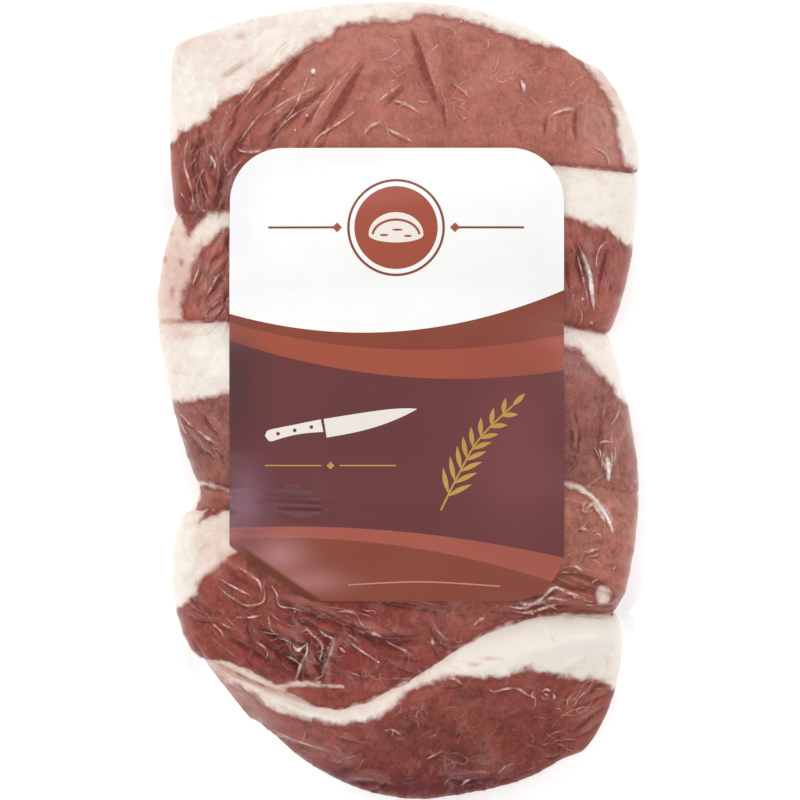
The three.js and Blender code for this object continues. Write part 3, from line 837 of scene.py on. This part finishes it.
def paint(thing, k):
    """Keeps on the mesh what its material reads: tone, fatness, stain, grain and crease_shading, which is
    painted shade in the folds' valleys, the nicks and the pleats' hollows, and painted light on ridges.
    """
    x, y = plan_points(thing).T
    u, s = find_place(x, y)
    keep_colours(thing, "tone", lean_tone(x, y, k))
    keep(thing, "fatness", fatness(x, y, u, k))
    keep(thing, "grain", np.full(len(x), GRAINS[k]))
    from_row, share = row_distance(u, s), crease_share(x, y)
    stain = sum(strength * bell(x, y, *spot) for *spot, strength in STAINS)
    keep(thing, "stain", stain + ROW_STAIN * share * np.exp(-from_row / ROW_STAIN_WIDTH))
    # Painted shade and light: valleys, nicks and pleat hollows darken the meat, ridges lighten it.
    ridge, valley = fold_heights(x, y)
    nick = NICK_SHADE * share * np.exp(-from_row / NICK_SHADE_WIDTH)
    keep(thing, "crease_shading", valley - 0.7 * ridge + nick + pleat_shade(x, y))


class Nodes:
    """Adds shader nodes to a material and links them. A value that is a socket is linked, and a colour
    is a socket or three amounts of light."""

    def __init__(self, name):
        self.material = bpy.data.materials.new(name)
        self.material.use_nodes = True
        self.tree = self.material.node_tree
        self.tree.nodes.clear()

    def add(self, kind, inputs=None, **settings):
        node = self.tree.nodes.new(kind)
        for key, value in settings.items():
            setattr(node, key, value)
        for key, value in (inputs or {}).items():
            socket = node.inputs[key]
            if isinstance(value, bpy.types.NodeSocket):
                self.tree.links.new(value, socket)
            else:
                socket.default_value = (*value, 1) if socket.type == "RGBA" else value
        return node

    def where(self):
        """The place on the object, in metres."""
        return self.add("ShaderNodeTexCoord").outputs["Object"]

    def math(self, operation, *values, clamp=False):
        inputs = dict(enumerate(values))
        return self.add("ShaderNodeMath", inputs, operation=operation, use_clamp=clamp).outputs[0]

    def sum(self, *values):
        total = values[0]
        for value in values[1:]:
            total = self.math("ADD", total, value)
        return total

    def noise(self, vector, scale, detail, roughness=0.5, distortion=0.0):
        """Noise from 0 to 1, with lumps about 1 / scale of a metre."""
        inputs = {"Vector": vector, "Scale": scale, "Detail": detail, "Roughness": roughness}
        inputs["Distortion"] = distortion
        return self.add("ShaderNodeTexNoise", inputs).outputs["Fac"]

    def swing(self, noise, size):
        """Noise about its middle, from about -size / 2 to size / 2."""
        return self.math("MULTIPLY", self.math("SUBTRACT", noise, 0.5), size)

    def between(self, value, low, high, to_low=0.0, to_high=1.0):
        """A value's place between two others, as an S-shaped step from to_low to to_high."""
        inputs = {"Value": value, "From Min": low, "From Max": high, "To Min": to_low, "To Max": to_high}
        return self.add("ShaderNodeMapRange", inputs, interpolation_type="SMOOTHSTEP").outputs[0]

    def blend(self, share, a, b, kind="MIX"):
        """Two colours mixed. A mix node's colours are its inputs 6 and 7, and its output 2."""
        inputs = {0: share, 6: a, 7: b}
        return self.add("ShaderNodeMix", inputs, data_type="RGBA", blend_type=kind).outputs[2]

    def brighten(self, colour, factor):
        grey = self.add("ShaderNodeCombineColor", {0: factor, 1: factor, 2: factor}).outputs[0]
        return self.blend(1.0, colour, grey, "MULTIPLY")

    def read(self, name, output="Fac"):
        return self.add("ShaderNodeAttribute", attribute_name=name).outputs[output]

    def bump(self, height, distance, strength):
        inputs = {"Height": height, "Distance": distance, "Strength": strength}
        return self.add("ShaderNodeBump", inputs).outputs[0]

    def shader(self, kind, inputs):
        return self.add("ShaderNodeBsdf" + kind, inputs).outputs[0]

    def over(self, share, under, top):
        """Two shaders mixed."""
        return self.add("ShaderNodeMixShader", {0: share, 1: under, 2: top}).outputs[0]

    def finish(self, shader):
        self.add("ShaderNodeOutputMaterial", {"Surface": shader})
        return self.material


# Over the tones of the lean: stains of blood, painted shade in hollows, painted light on ridges, the
# margin along the fat, and a veil.
BLOOD, RIDGE_LIGHT, MARGIN, VEIL = "#7c3a36", "#c58a7c", "#863c34", "#bb8a7d"
HOLLOW_SHADE = (0.55, 0.3, 0.3)  # what the painted shade in a hollow leaves of red, green and blue
CREAMY, PINK, ROSE = "#f3ebe1", "#dfbfb3", "#bf8378"  # the fat


def meat_material(name):
    """Lean and fat as one skin, told apart by the fatness on the mesh, so that their border is feathery.
    Lean has grain, mottling, painted shade in its creases and painted light on its ridges over its tone.
    Fat is cream with pink stains and veins, and rose painted shade in its creases."""
    n = Nodes(name)
    where = n.where()
    mapping = {"Vector": where, "Rotation": (0, 0, 0.9), "Scale": (1, 0.35, 1)}
    fibre = n.noise(n.add("ShaderNodeMapping", mapping).outputs[0], 1000, 4, 0.65, 0.3)
    mottle = n.noise(where, 300, 5, 0.62, 0.5)
    cloud = n.noise(where, 75, 3, 0.55, 0.4)
    grain = n.noise(where, 1900, 2, 0.6)
    blood = n.noise(where, 150, 4, 0.6, 0.8)

    ragged = n.sum(n.read("fatness"), n.swing(n.noise(where, 330, 2, 0.5, 0.5), 3.2), n.swing(blood, 2.4))
    is_fat = n.between(ragged, -1.2, 1.2)
    margin = n.between(ragged, -2.6, -0.9)

    swings = n.sum(n.swing(fibre, 1.0), n.swing(mottle, 1.5), n.swing(cloud, 0.9), n.swing(grain, 1.2))
    light = n.sum(n.math("MULTIPLY", swings, n.read("grain")), 1.0)
    crease_shading = n.read("crease_shading")
    lean = n.brighten(n.read("tone", "Color"), light)
    lean = n.blend(n.between(blood, 0.54, 0.7, 0.0, 0.22), lean, linear(BLOOD))
    # Painted shade in the hollows, and painted light on the ridges.
    deep = n.blend(1.0, lean, HOLLOW_SHADE, "MULTIPLY")
    lean = n.blend(n.between(crease_shading, 0.08, 0.75, 0.0, 0.88), lean, deep)
    lean = n.blend(n.between(crease_shading, -0.05, -0.6, 0.0, 0.26), lean, linear(RIDGE_LIGHT))
    lean = n.blend(n.math("MULTIPLY", margin, 0.5), lean, linear(MARGIN))
    veil = n.between(n.noise(where, 190, 4, 0.65, 0.6), 0.5, 0.72, 0.0, 0.24)
    lean = n.blend(veil, lean, linear(VEIL))

    cream, pink, rose = under_film(CREAMY), under_film(PINK), under_film(ROSE)
    near_lean = n.between(ragged, 2.6, 0.4, 0.0, 0.38)
    cloudy = n.between(cloud, 0.5, 0.72, 0.0, 0.3)
    pinkish = n.sum(n.read("stain"), near_lean, cloudy, n.swing(mottle, 1.3))
    fat = n.blend(n.math("MULTIPLY", pinkish, 1.0, clamp=True), cream, pink)
    # The fat turns rose with blood, with painted shade in its creases, and where it is stained most.
    for value, low, high, most in (
        (blood, 0.62, 0.76, 0.35),
        (crease_shading, 0.3, 1.3, 0.3),
        (pinkish, 1.0, 1.7, 0.8),
    ):
        fat = n.blend(n.between(value, low, high, 0.0, most), fat, rose)
    colour = n.blend(is_fat, lean, fat)

    height = n.sum(n.math("MULTIPLY", fibre, 0.6), n.math("MULTIPLY", mottle, 0.9))
    skin = {"Base Color": colour, "Roughness": 0.6, "Specular IOR Level": 0.15}
    skin["Normal"] = n.bump(height, 0.0003, 0.6)
    return n.finish(n.shader("Principled", skin))


for family, pieces in (("lean", leans), ("fat", fats)):
    material = meat_material(family)
    for k, thing in pieces.items():
        paint(thing, k)
        thing.data.shade_smooth()
        thing.data.set_sharp_from_angle(angle=np.radians(MEAT_EDGE))
        thing.data.materials.clear()
        thing.data.materials.append(material)
        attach(thing, "root")
        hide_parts(f"{family}_{k}")


# The film: two clear webs drawn tight over and under the meat, and welded flat round it. It bridges
# the nicks between the slices and shows by its shine.
SEAM_WIDTHS = np.array([[1.5, 1.5], [4.5, 1.5], [1.5, 3], [3, 1.5], [2, 5.5], [8, 5], [5, 1.5]])
FILM_LIFT = 0.3
FILM_NICK = 0.45
FILM_WAVE = 0.5  # of the seam
FILM_MILK = 0.004  # how milky it is
MIRROR_LEAST, MIRROR_MORE = 0.014, 0.7  # square on the film, and added along it
FILM_ACROSS = 250
FILM_ALONG = [62, 44, 62, 34, 54, 54]
SEAM_STEPS = 4
# Where the welded edge has gone grey: middle, reach in X and Y.
SEAM_GREY = [(-79, 64, 5, 14), (-69, -92, 8, 12), (-47, -119, 16, 14), (77, -74, 5, 24)]


def out_past(values, steps):
    """Values with their first and last repeated for the seam, and how far each step is out on it,
    from -1 at the near border through 0 on the meat to 1 at the far one."""
    out = np.linspace(-1, 0, steps + 1)[:-1]
    extended = np.concatenate([np.repeat(values[0], steps), values, np.repeat(values[-1], steps)])
    return extended, np.concatenate([out, np.zeros(len(values)), -out[::-1]])


def film_web(across, along, upper):
    """One web on a grid like the slices', which runs out along X past the sides and along Y past the
    ends for the seam. It stands off the meat by its lift, which dies out at its border. The second
    value is 0 on the meat, and on the seam how grey that is."""
    across, out_x = out_past(across, SEAM_STEPS)
    along, out_y = out_past(along, SEAM_STEPS)
    u, s = np.meshgrid(across, along)
    out_x, out_y = np.meshgrid(out_x, out_y)
    out_most = np.maximum(np.abs(out_x), np.abs(out_y))
    x, y = place(u, s)
    left, right = through(SEAM_WIDTHS[:, 0], s / SLICES), through(SEAM_WIDTHS[:, 1], s / SLICES)
    wide = mix(left, right, smooth(u, 0, 0.5))
    z = tops(u, s) if upper else underside(u, s)
    points = np.stack([x + out_x * wide, y - out_y * wide, z], 2)
    out = relief(u, s, FILM_NICK) * (1 if upper else base_share(u, s))
    square = normals(points) if upper else -normals(points)
    wave = FILM_WAVE * ripple(points[..., 0], points[..., 1], 11, 5) * out_most
    points = points + square * ((out + FILM_LIFT) * (1 - out_most**4))[..., None]
    points[..., 2] = np.maximum(points[..., 2] + wave, 0.02)
    grey = sum(bell(points[..., 0], points[..., 1], *spot) for spot in SEAM_GREY)
    return points, np.minimum(out_most * 3, 1) * np.minimum(0.15 + grey, 1)


def film_material():
    """Clear film: what isn't mirrored goes straight through, a little greyer on the double seam. The
    shine grows towards the edges of what is seen, by the fifth power of the facing."""
    n = Nodes("film")
    where = n.where()
    crinkle = n.sum(n.noise(where, 300, 3, 0.55), n.math("MULTIPLY", n.noise(where, 1100, 2, 0.5), 0.3))
    bump = n.bump(crinkle, 0.0003, 0.35)
    facing = n.add("ShaderNodeLayerWeight", {"Blend": 0.5, "Normal": bump}).outputs["Facing"]
    mirror = n.sum(n.math("MULTIPLY", n.math("POWER", facing, 5.0), MIRROR_MORE), MIRROR_LEAST)
    gloss = n.shader("Glossy", {"Color": (1, 1, 1), "Roughness": 0.1, "Normal": bump})
    tint = n.blend(n.read("seam"), (1, 1, 1), (0.94, 0.95, 0.96))
    clear = n.shader("Transparent", {"Color": tint})
    milk = n.shader("Diffuse", {"Color": (0.92, 0.9, 0.9)})
    return n.finish(n.over(mirror, n.over(FILM_MILK, clear, milk), gloss))


film_clear = film_material()
for name, upper in (("film_top", True), ("film_base", False)):
    points, seam = film_web(cosine_steps(FILM_ACROSS), counts_along(FILM_ALONG), upper)
    faces = grid_faces(*points.shape[:2])
    web = piece(name, points, faces if upper else faces[:, ::-1])
    keep(web, "seam", seam)
    web.data.materials.append(film_clear)
    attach(web, "root")
    if upper:
        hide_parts("film_seam")
        film_surface = points


# The thin pleats, where the film has closed on itself. Each is a ribbon on the film with these
# columns: how many half widths the column is to the left, how high it stands, and how pale it is.
# The paleness is milky film and painted highlight, and the widest pleats are painted white glints.
PLEAT_HALVES = np.array([2.0, 1.0, 0.0, -1.0, -2.0])
PLEAT_STANDS = np.array([0, 0.6, 1, 0.6, 0])
PLEAT_PALE = np.array([0, 0.75, 1, 0.75, 0])
PLEAT_RISE = 0.6  # height of a pleat over its half width
PLEAT_LIFT = 0.03
GLINT_WIDTHS = (0.28, 0.46)  # half widths at which a pleat starts to be a white painted glint, and is one


def on_film(x, y):
    """The upper film's points at X and Y, and the directions square to it: the web's own points and
    those between them, by their share and count."""
    u, s = find_place(x, y)
    columns = SEAM_STEPS + np.interp(u, cosine_steps(FILM_ACROSS), np.arange(FILM_ACROSS + 1))
    rows = SEAM_STEPS + np.interp(s, counts_along(FILM_ALONG), np.arange(sum(FILM_ALONG) + 1))
    i, j = rows.astype(int), columns.astype(int)
    down, right = (rows - i)[..., None], (columns - j)[..., None]
    found = []
    for grid in (film_surface, normals(film_surface)):
        near, far = mix(grid[i, j], grid[i, j + 1], right), mix(grid[i + 1, j], grid[i + 1, j + 1], right)
        found.append(mix(near, far, down))
    return found


def pleat_ribbons(lines, looks):
    """All ribbons as points, quads, and how pale and how white each point is: paleness is milky film and
    painted highlight, whiteness a painted glint. Along a ribbon, its width goes by the root of a half
    sine and by soft random swells, and so does how pale it is."""
    side = to_left(np.gradient(lines, axis=1))
    x, y = lines[..., 0], lines[..., 1]
    fade = np.sqrt(np.sin(np.linspace(0, np.pi, PLEAT_POINTS)).clip(0))
    swell = looks[:, :1] * fade * (1 + 0.25 * ripple(x, y, 2.2, 31)).clip(0.5)
    offset = swell[..., None] * PLEAT_HALVES
    xy = lines[:, :, None] + offset[..., None] * side[:, :, None]
    foot, up = on_film(xy[..., 0], xy[..., 1])
    points = foot + up * (PLEAT_LIFT + PLEAT_RISE * swell[..., None] * PLEAT_STANDS)[..., None]
    white = smooth(looks[:, :1], *GLINT_WIDTHS)
    strength = fade * (0.75 + 0.5 * ripple(x, y, 2.6, 32)).clip(0.15 + 0.7 * white, 1.1)
    pale = (looks[:, 1:2] * strength)[..., None] * PLEAT_PALE
    columns = len(PLEAT_HALVES)
    quads = grid_faces(PLEAT_POINTS, columns)[:, ::-1]
    shift = np.arange(len(lines))[:, None, None] * PLEAT_POINTS * columns
    return points, (quads + shift).reshape(-1, 4), pale, np.broadcast_to(white[..., None], pale.shape)


def pleat_material():
    """Film folded on itself: milky and pink, which also stands for the highlights along the folds, and a
    painted white glint where it is wide.
    """
    n = Nodes("film_pleat")
    where = n.where()
    broken = n.between(n.noise(where, 900, 2, 0.6), 0.35, 0.6, 0.5, 1.0)
    clear = n.shader("Transparent", {"Color": (1, 1, 1)})
    white = n.read("white")
    folded = n.shader("Diffuse", {"Color": n.blend(white, (0.87, 0.55, 0.47), (1.0, 0.9, 0.84))})
    whole = n.sum(n.math("MULTIPLY", broken, 0.9), n.math("MULTIPLY", white, 0.35))
    cover = n.math("MULTIPLY", n.read("pale"), whole, clamp=True)
    return n.finish(n.over(cover, clear, folded))


points, quads, pale, white = pleat_ribbons(*pleat_lines())
pleats = piece("film_pleats", points, quads)
keep(pleats, "pale", pale)
keep(pleats, "white", white)
pleats.data.materials.append(pleat_material())
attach(pleats, "root")


# The label: a sheet of coated paper stuck on the film. Its print is plain fields of colour that
# meet in low arches, with a round badge, a sprig and a knife. One lower corner is cut on a slant
# where it is folded under, and painted shade lies along that roll.
LABEL_CORNER = 18
LABEL_CUT = (27, 18.5)  # how far the folded corner reaches across and up
LABEL_LIFT = 0.55
LABEL_THICKNESS = 0.3
LABEL_WAVE = 0.15
LABEL_EDGE = 50  # degrees from which a bend is sharp
LABEL_BRIDGE = 6  # how many steps each way the label's height looks to, and their length
LABEL_STEP = 2.2
LABEL_COLUMNS = 160
LABEL_ROLL = 2.6  # how wide the painted shade along the folded corner is
ROLL_SHADE_COLOUR = "#64300f"
PAPER = "#f4f2ef"
# The borders between the fields, from the top: Y in the middle, how much higher the sides are, and
# how much higher the right end is than the middle by tilt.
FIELD_BORDERS = [(23, 10, 4), (17, 7, -2), (8, 7, -5), (-44, -4, -5), (-48.5, -5.5, -7)]
FIELD_COLOURS = ["#fdfdfc", "#8b4433", "#a7523e", "#6c383a", "#ab5a4a", "#8b4636"]
FIELD_ROWS = [80, 16, 20, 50, 16, 40]  # of the mesh
DARK = 0.6  # a print's mean light, below which it is dark
# Painted sheen and painted shade on the print, where the glossy label reflects light or lies in shade:
# middle, reach in X and Y, colour and strength.
PAINTED_SHEENS_AND_SHADE = [
    (-40, -52, 9, 6, "#bd8281", 0.8), (-30, -61, 12, 4, "#bd8281", 0.6),
    (-51, -36, 8, 14, "#7f5163", 0.7), (-55, 6, 8, 18, "#472627", 0.8),
    (40, -18, 16, 26, "#82484a", 0.8), (-54, 60, 7, 20, "#f3f3f7", 0.9),
]


def label_height(x, y):
    """Height of the label's underside, which bridges the grooves: along Y, the least depth of the
    groove within a few millimetres, averaged over a few more. It has long soft waves too."""
    steps = range(-LABEL_BRIDGE, LABEL_BRIDGE + 1)
    depths = np.stack([groove(*find_place(x, y + LABEL_STEP * n)) for n in steps])
    least = [depths[n : n + LABEL_BRIDGE + 1].min(0) for n in range(LABEL_BRIDGE + 1)]
    sag = np.mean(least, axis=0)
    return crown(*find_place(x, y)) - sag + LABEL_LIFT + LABEL_WAVE * ripple(x, y, 24, 11)


def label_sides(y):
    """X of the label's left and right side: straight, with round corners, but for the slanting fold at
    the lower left."""
    upper = np.clip(y - (LABEL_TOP - LABEL_CORNER), 0, LABEL_CORNER)
    lower = np.clip(LABEL_BOTTOM + LABEL_CORNER - y, 0, LABEL_CORNER)
    folded = LABEL_CUT[0] * np.clip((LABEL_BOTTOM + LABEL_CUT[1] - y) / LABEL_CUT[1], 0, 1)
    left = LABEL_LEFT + LABEL_CORNER - np.sqrt(LABEL_CORNER**2 - upper**2) + folded
    right = LABEL_RIGHT - LABEL_CORNER + np.sqrt(LABEL_CORNER**2 - np.maximum(upper, lower) ** 2)
    return left, right


def label_points():
    """The label's upper and lower face on rows that follow the borders of its fields, and whose ends
    follow its outline. They lie closer towards its top and its foot."""
    t = np.linspace(0, 1, LABEL_COLUMNS)
    off = 2 * t - 1
    lines = [middle + rise * off**2 + tilt * off for middle, rise, tilt in FIELD_BORDERS]
    lines = [np.full(t.shape, LABEL_TOP), *lines, np.full(t.shape, LABEL_BOTTOM)]
    rows = []
    for number, count in enumerate(FIELD_ROWS):
        step = np.arange(count) / count
        if number == 0:
            step = 1 - np.cos(np.pi / 2 * step)
        if number == len(FIELD_ROWS) - 1:
            step = np.sin(np.pi / 2 * step)
        rows.append(mix(lines[number], lines[number + 1], step[:, None]))
    y = np.concatenate([*rows, lines[-1][None]])
    left, right = label_sides(y)
    x = mix(left[:, :1], right[:, -1:], t)
    base = label_height(x, y)
    return np.stack([x, y, base + LABEL_THICKNESS], 2), np.stack([x, y, base], 2)


def label_colours(thing):
    """The print's colour at each corner of each face: the field's, with the painted sheens and painted
    shade over it, of which a dark one lies only on dark print and a light one on light. The back and the
    cut edge are white."""
    bands = np.repeat(np.arange(len(FIELD_ROWS)), FIELD_ROWS)
    fields = np.array([linear(code) for code in FIELD_COLOURS])[np.repeat(bands, LABEL_COLUMNS - 1)]
    colours = np.ones((len(thing.data.polygons), 3)) * linear(PAPER)
    colours[: len(fields)] = fields
    colours = np.repeat(colours, 4, axis=0)
    corner = np.empty(len(thing.data.loops), np.int32)
    thing.data.loops.foreach_get("vertex_index", corner)
    x, y = plan_points(thing)[corner].T
    # Patches of painted sheen and painted shade.
    for *spot, code, strength in PAINTED_SHEENS_AND_SHADE:
        alike = (colours.mean(1) < DARK) == (linear(code).mean() < DARK)
        share = np.where(alike, strength * bell(x, y, *spot), 0)
        colours = mix(colours, linear(code), share[:, None])
    # Along the folded corner, the rolled-under brown print is painted darker as shade.
    across, up = LABEL_CUT
    from_fold = ((x - LABEL_LEFT) * up + (y - LABEL_BOTTOM) * across - across * up) / np.hypot(across, up)
    roll_shade = smooth(LABEL_ROLL - from_fold, -0.5, 1.0) * smooth(x, LABEL_LEFT, LABEL_LEFT + 8)
    return mix(colours, linear(ROLL_SHADE_COLOUR), 0.9 * roll_shade[:, None])


def label_material():
    """Coated paper: the print's colours with a slight unevenness, under a thin gloss."""
    n = Nodes("label")
    where = n.where()
    uneven, specks = n.noise(where, 55, 3, 0.5), n.noise(where, 900, 2, 0.5)
    light = n.sum(n.swing(uneven, 0.10), n.swing(specks, 0.05), 1.0)
    coated = {"Base Color": n.brighten(n.read("print", "Color"), light), "Roughness": 0.36}
    coated["Specular IOR Level"] = 0.35
    coated["Normal"] = n.bump(n.noise(where, 160, 2), 0.0002, 0.3)
    return n.finish(n.shader("Principled", coated))


paper = label_material()
label = piece("label_sheet", *two_sided(*label_points()))
keep_colours(label, "print", label_colours(label), "CORNER")
label.data.materials.append(paper)
label.data.set_sharp_from_angle(angle=np.radians(LABEL_EDGE))
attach(label, "root")
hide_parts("label")

# The small shapes of the print: each is a thin band of ink along a line, so wide to the line's left and
# to its right, laid on the label in one or two layers.
INK_HEIGHT = 0.06
INK_LAYER = 0.05
INK_DEPTH = 0.1
BRICK, BROWN, MAROON, GOLD, CREAM = "#a7523e", "#8b4433", "#6c383a", "#c39a4e", "#f4ece4"
DULL_ROSE = "#c48a76"
BADGE = np.array([-1, 58])
BADGE_RADIUS = 14
RING_RADIUS = 16
SLICE_REACH = 9.2  # half the printed slice's length
RULE_LENGTH = 22
SPRIG = [(14, -37), (20, -25), (27, -13), (38, -2)]
SPRIG_PAIRS = 8
LEAF_ANGLE = 38  # degrees between a leaf and the stem
KNIFE_TIP, KNIFE_HEEL, KNIFE_END = (6, -3), (-25, -8), (-45, -12)
RULE_Y = -22
FOOT_RULE = [(-17, -62), (8, -61), (34, -62.5)]
printed = []


def draw(line, left, right, colour, columns, layer=0):
    """Adds the printed band from `right` to `left` of a line of points, in that many columns."""
    left, right = (np.broadcast_to(wide, len(line))[:, None] for wide in (left, right))
    reach = mix(-right, left, np.linspace(0, 1, columns))
    xy = line[:, None] + to_left(np.gradient(line, axis=0))[:, None] * reach[..., None]
    z = label_height(xy[..., 0], xy[..., 1]) + LABEL_THICKNESS + INK_HEIGHT + layer * INK_LAYER
    points, faces = two_sided(np.dstack([xy, z]), np.dstack([xy, z - INK_DEPTH]))
    printed.append((points, faces, linear(colour)))


def straight(start, end, count):
    return mix(np.array(start, float), np.array(end, float), np.linspace(0, 1, count)[:, None])


def lens(x, y, reach, above, below, colour, columns, layer=0):
    """A filled round shape: its height above and below its middle line is a half sine of the turn whose
    cosine runs along the line."""
    turn = np.linspace(0.03, np.pi - 0.03, 31)
    line = np.stack([x - reach * np.cos(turn), np.full(turn.shape, float(y))], 1)
    draw(line, above * np.sin(turn), below * np.sin(turn), colour, columns, layer)


def diamond(x, y, reach, colour):
    wide = reach * (1.03 - np.abs(np.linspace(-1, 1, 9)))
    line = straight((x - reach, y), (x + reach, y), len(wide))
    draw(line, wide, wide, colour, 5)


def print_badge():
    """A round badge in a thin ring, with a half-moon slice on it that has a line under its cap and a
    few flecks, between two rules that end in diamonds."""
    x, y = BADGE
    lens(x, y, BADGE_RADIUS, BADGE_RADIUS, BADGE_RADIUS, BRICK, 15)
    turn = np.linspace(0, 2 * np.pi, 73)
    circle = BADGE + RING_RADIUS * np.stack([np.cos(turn), np.sin(turn)], 1)
    draw(circle, 0.4, 0.4, BROWN, 3)
    lens(x, y - 2.5, SLICE_REACH, 7.6, 2.6, CREAM, 13, layer=1)
    turn = np.linspace(0.12, np.pi - 0.12, 25)
    cap_line = np.stack([x - SLICE_REACH * 0.86 * np.cos(turn), y - 3 + 5.6 * np.sin(turn)], 1)
    draw(cap_line, 0.4, 0.4, BRICK, 3, layer=2)
    for fleck_x, fleck_y, reach in ((-4, -2.6, 1.5), (0.5, -0.8, 1.8), (4, -2.9, 1.3)):
        lens(x + fleck_x, y + fleck_y, reach, 0.35, 0.35, BRICK, 3, layer=2)
    for side in (-1, 1):
        inner = x + side * (RING_RADIUS + 5)
        draw(straight((inner, y), (inner + side * RULE_LENGTH, y), 24), 0.35, 0.35, BROWN, 3)
        diamond(inner - side * 1.2, y, 1.6, BRICK)


def print_sprig():
    """A herb sprig: a bending stem with pairs of narrow leaves that get shorter towards its tip."""
    stem = smooth_line(SPRIG, 40)
    draw(stem, 0.3, 0.3, GOLD, 3)
    ahead = unit(np.gradient(stem, axis=0))
    t = np.linspace(0, np.pi, 13)
    for pair in range(SPRIG_PAIRS):
        i = 6 + pair * 4
        length = 9 - 0.5 * pair
        for side in (-1, 1):
            turn = side * np.radians(LEAF_ANGLE)
            spin = np.array([[np.cos(turn), np.sin(turn)], [-np.sin(turn), np.cos(turn)]])
            root = stem[i] + ahead[i] * 0.8 * (side > 0)
            leaf = straight(root, root + ahead[i] @ spin * length, 13)
            draw(leaf, 0.05 + 0.95 * np.sin(t), 0.05 + 0.6 * np.sin(t), GOLD, 5)
    bud = 0.05 + 0.8 * np.sin(t)
    draw(straight(stem[-1], stem[-1] + ahead[-1] * 6, 13), bud, bud, GOLD, 5)


def print_knife():
    """A cook's knife: a blade that is nearly straight along its back and curves up to the tip along its
    edge, and a handle with three rivets."""
    t = np.linspace(0, 1, 33)
    blade = straight(KNIFE_HEEL, KNIFE_TIP, 33)
    draw(blade, 0.05 + 1.6 * (1 - t**5), 0.05 + 4.6 * (1 - t**2.6), CREAM, 9)
    handle = straight(KNIFE_END, (KNIFE_HEEL[0] - 0.9, KNIFE_HEEL[1] - 0.15), 25)
    t = np.linspace(0, 1, 25)
    end = np.sqrt(1 - (1 - np.minimum(t / 0.12, 0.999)) ** 2)
    draw(handle, 1.7 * end, (2.6 - 0.9 * np.sin(np.pi * t)) * end, CREAM, 7)
    for share in (0.22, 0.5, 0.78):
        x, y = mix(np.array(KNIFE_END), np.array(KNIFE_HEEL), share)
        lens(x, y - 0.2, 0.6, 0.6, 0.6, MAROON, 5, layer=1)


def print_rules():
    """A thin rule with a diamond under the knife, and another along the foot."""
    for left, right in ((-45, -26), (-20, -1)):
        draw(straight((left, RULE_Y), (right, RULE_Y), 20), 0.22, 0.22, GOLD, 3)
    diamond(-23, RULE_Y, 1.3, GOLD)
    draw(smooth_line(FOOT_RULE, 50), 0.25, 0.25, DULL_ROSE, 3)


print_badge()
print_sprig()
print_knife()
print_rules()
starts = np.cumsum([0] + [len(part) for part, _, _ in printed[:-1]])
points = np.concatenate([part for part, _, _ in printed])
faces = np.concatenate([quads + start for (_, quads, _), start in zip(printed, starts)])
colours = np.concatenate([np.tile(colour, (len(part), 1)) for part, _, colour in printed])
ink = piece("label_print", points, faces)
keep_colours(ink, "print", colours)
ink.data.materials.append(paper)
ink.data.set_sharp_from_angle(angle=np.radians(LABEL_EDGE))
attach(ink, "root")


# The stage: a white floor that glows a little, under soft light, seen straight from above.
FLOOR_SIZE = 4000
FLOOR_GLOW = 0.5
SKY_LIGHT = 0.5
floor = piece(
    "floor",
    np.array([[-1, -1, 0], [1, -1, 0], [1, 1, 0], [-1, 1, 0]]) * FLOOR_SIZE / 2,
    np.array([[0, 1, 2, 3]]),
)
n = Nodes("floor")
matt = n.shader("Diffuse", {"Color": (0.8, 0.8, 0.8)})
glow = n.add("ShaderNodeEmission", {"Strength": FLOOR_GLOW}).outputs[0]
floor.data.materials.append(n.finish(n.add("ShaderNodeAddShader", {0: matt, 1: glow}).outputs[0]))

world = bpy.data.worlds.new("studio")
world.use_nodes = True
sky = world.node_tree.nodes["Background"]
sky.inputs["Color"].default_value = (1, 1, 1, 1)
sky.inputs["Strength"].default_value = SKY_LIGHT
bpy.context.scene.world = world

# Soft boxes: direction round the pack and height above the floor in degrees, distance, side, power.
LAMPS = [(165, 40, 1.4, 0.7, 5.5), (25, 36, 1.4, 0.7, 4.5), (265, 42, 1.4, 0.7, 3), (95, 34, 1.4, 0.7, 3)]
for number, (turn, height, distance, side, power) in enumerate(LAMPS):
    lamp = bpy.data.lights.new(f"lamp_{number}", "AREA")
    lamp.size = side
    lamp.energy = power
    holder = put(f"lamp_{number}", lamp)
    turn, height = np.radians(turn), np.radians(height)
    aim = np.array([np.cos(turn) * np.cos(height), np.sin(turn) * np.cos(height), np.sin(height)])
    holder.location = distance * aim
    holder.rotation_mode = "QUATERNION"
    holder.rotation_quaternion = holder.location.to_track_quat("Z", "Y")

# The camera looks straight down from far off, at as much of the plan as the photo shows.
PHOTO_WIDTH = 0.272
PHOTO_MIDDLE = (0.34, 0)
LENS = 300
SENSOR = 36
CLIP_END = 20
camera_data = bpy.data.cameras.new("camera")
camera_data.lens = LENS
camera_data.sensor_width = SENSOR
camera_data.clip_end = CLIP_END
camera = put("camera", camera_data)
camera.location = (
    (PHOTO_MIDDLE[0] + PLAN_SHIFT[0]) / 1000,
    (PHOTO_MIDDLE[1] + PLAN_SHIFT[1]) / 1000,
    RIM_HEIGHT / 1000 + PHOTO_WIDTH * LENS / SENSOR,
)
bpy.context.scene.camera = camera
bpy.context.scene.view_settings.view_transform = "Standard"
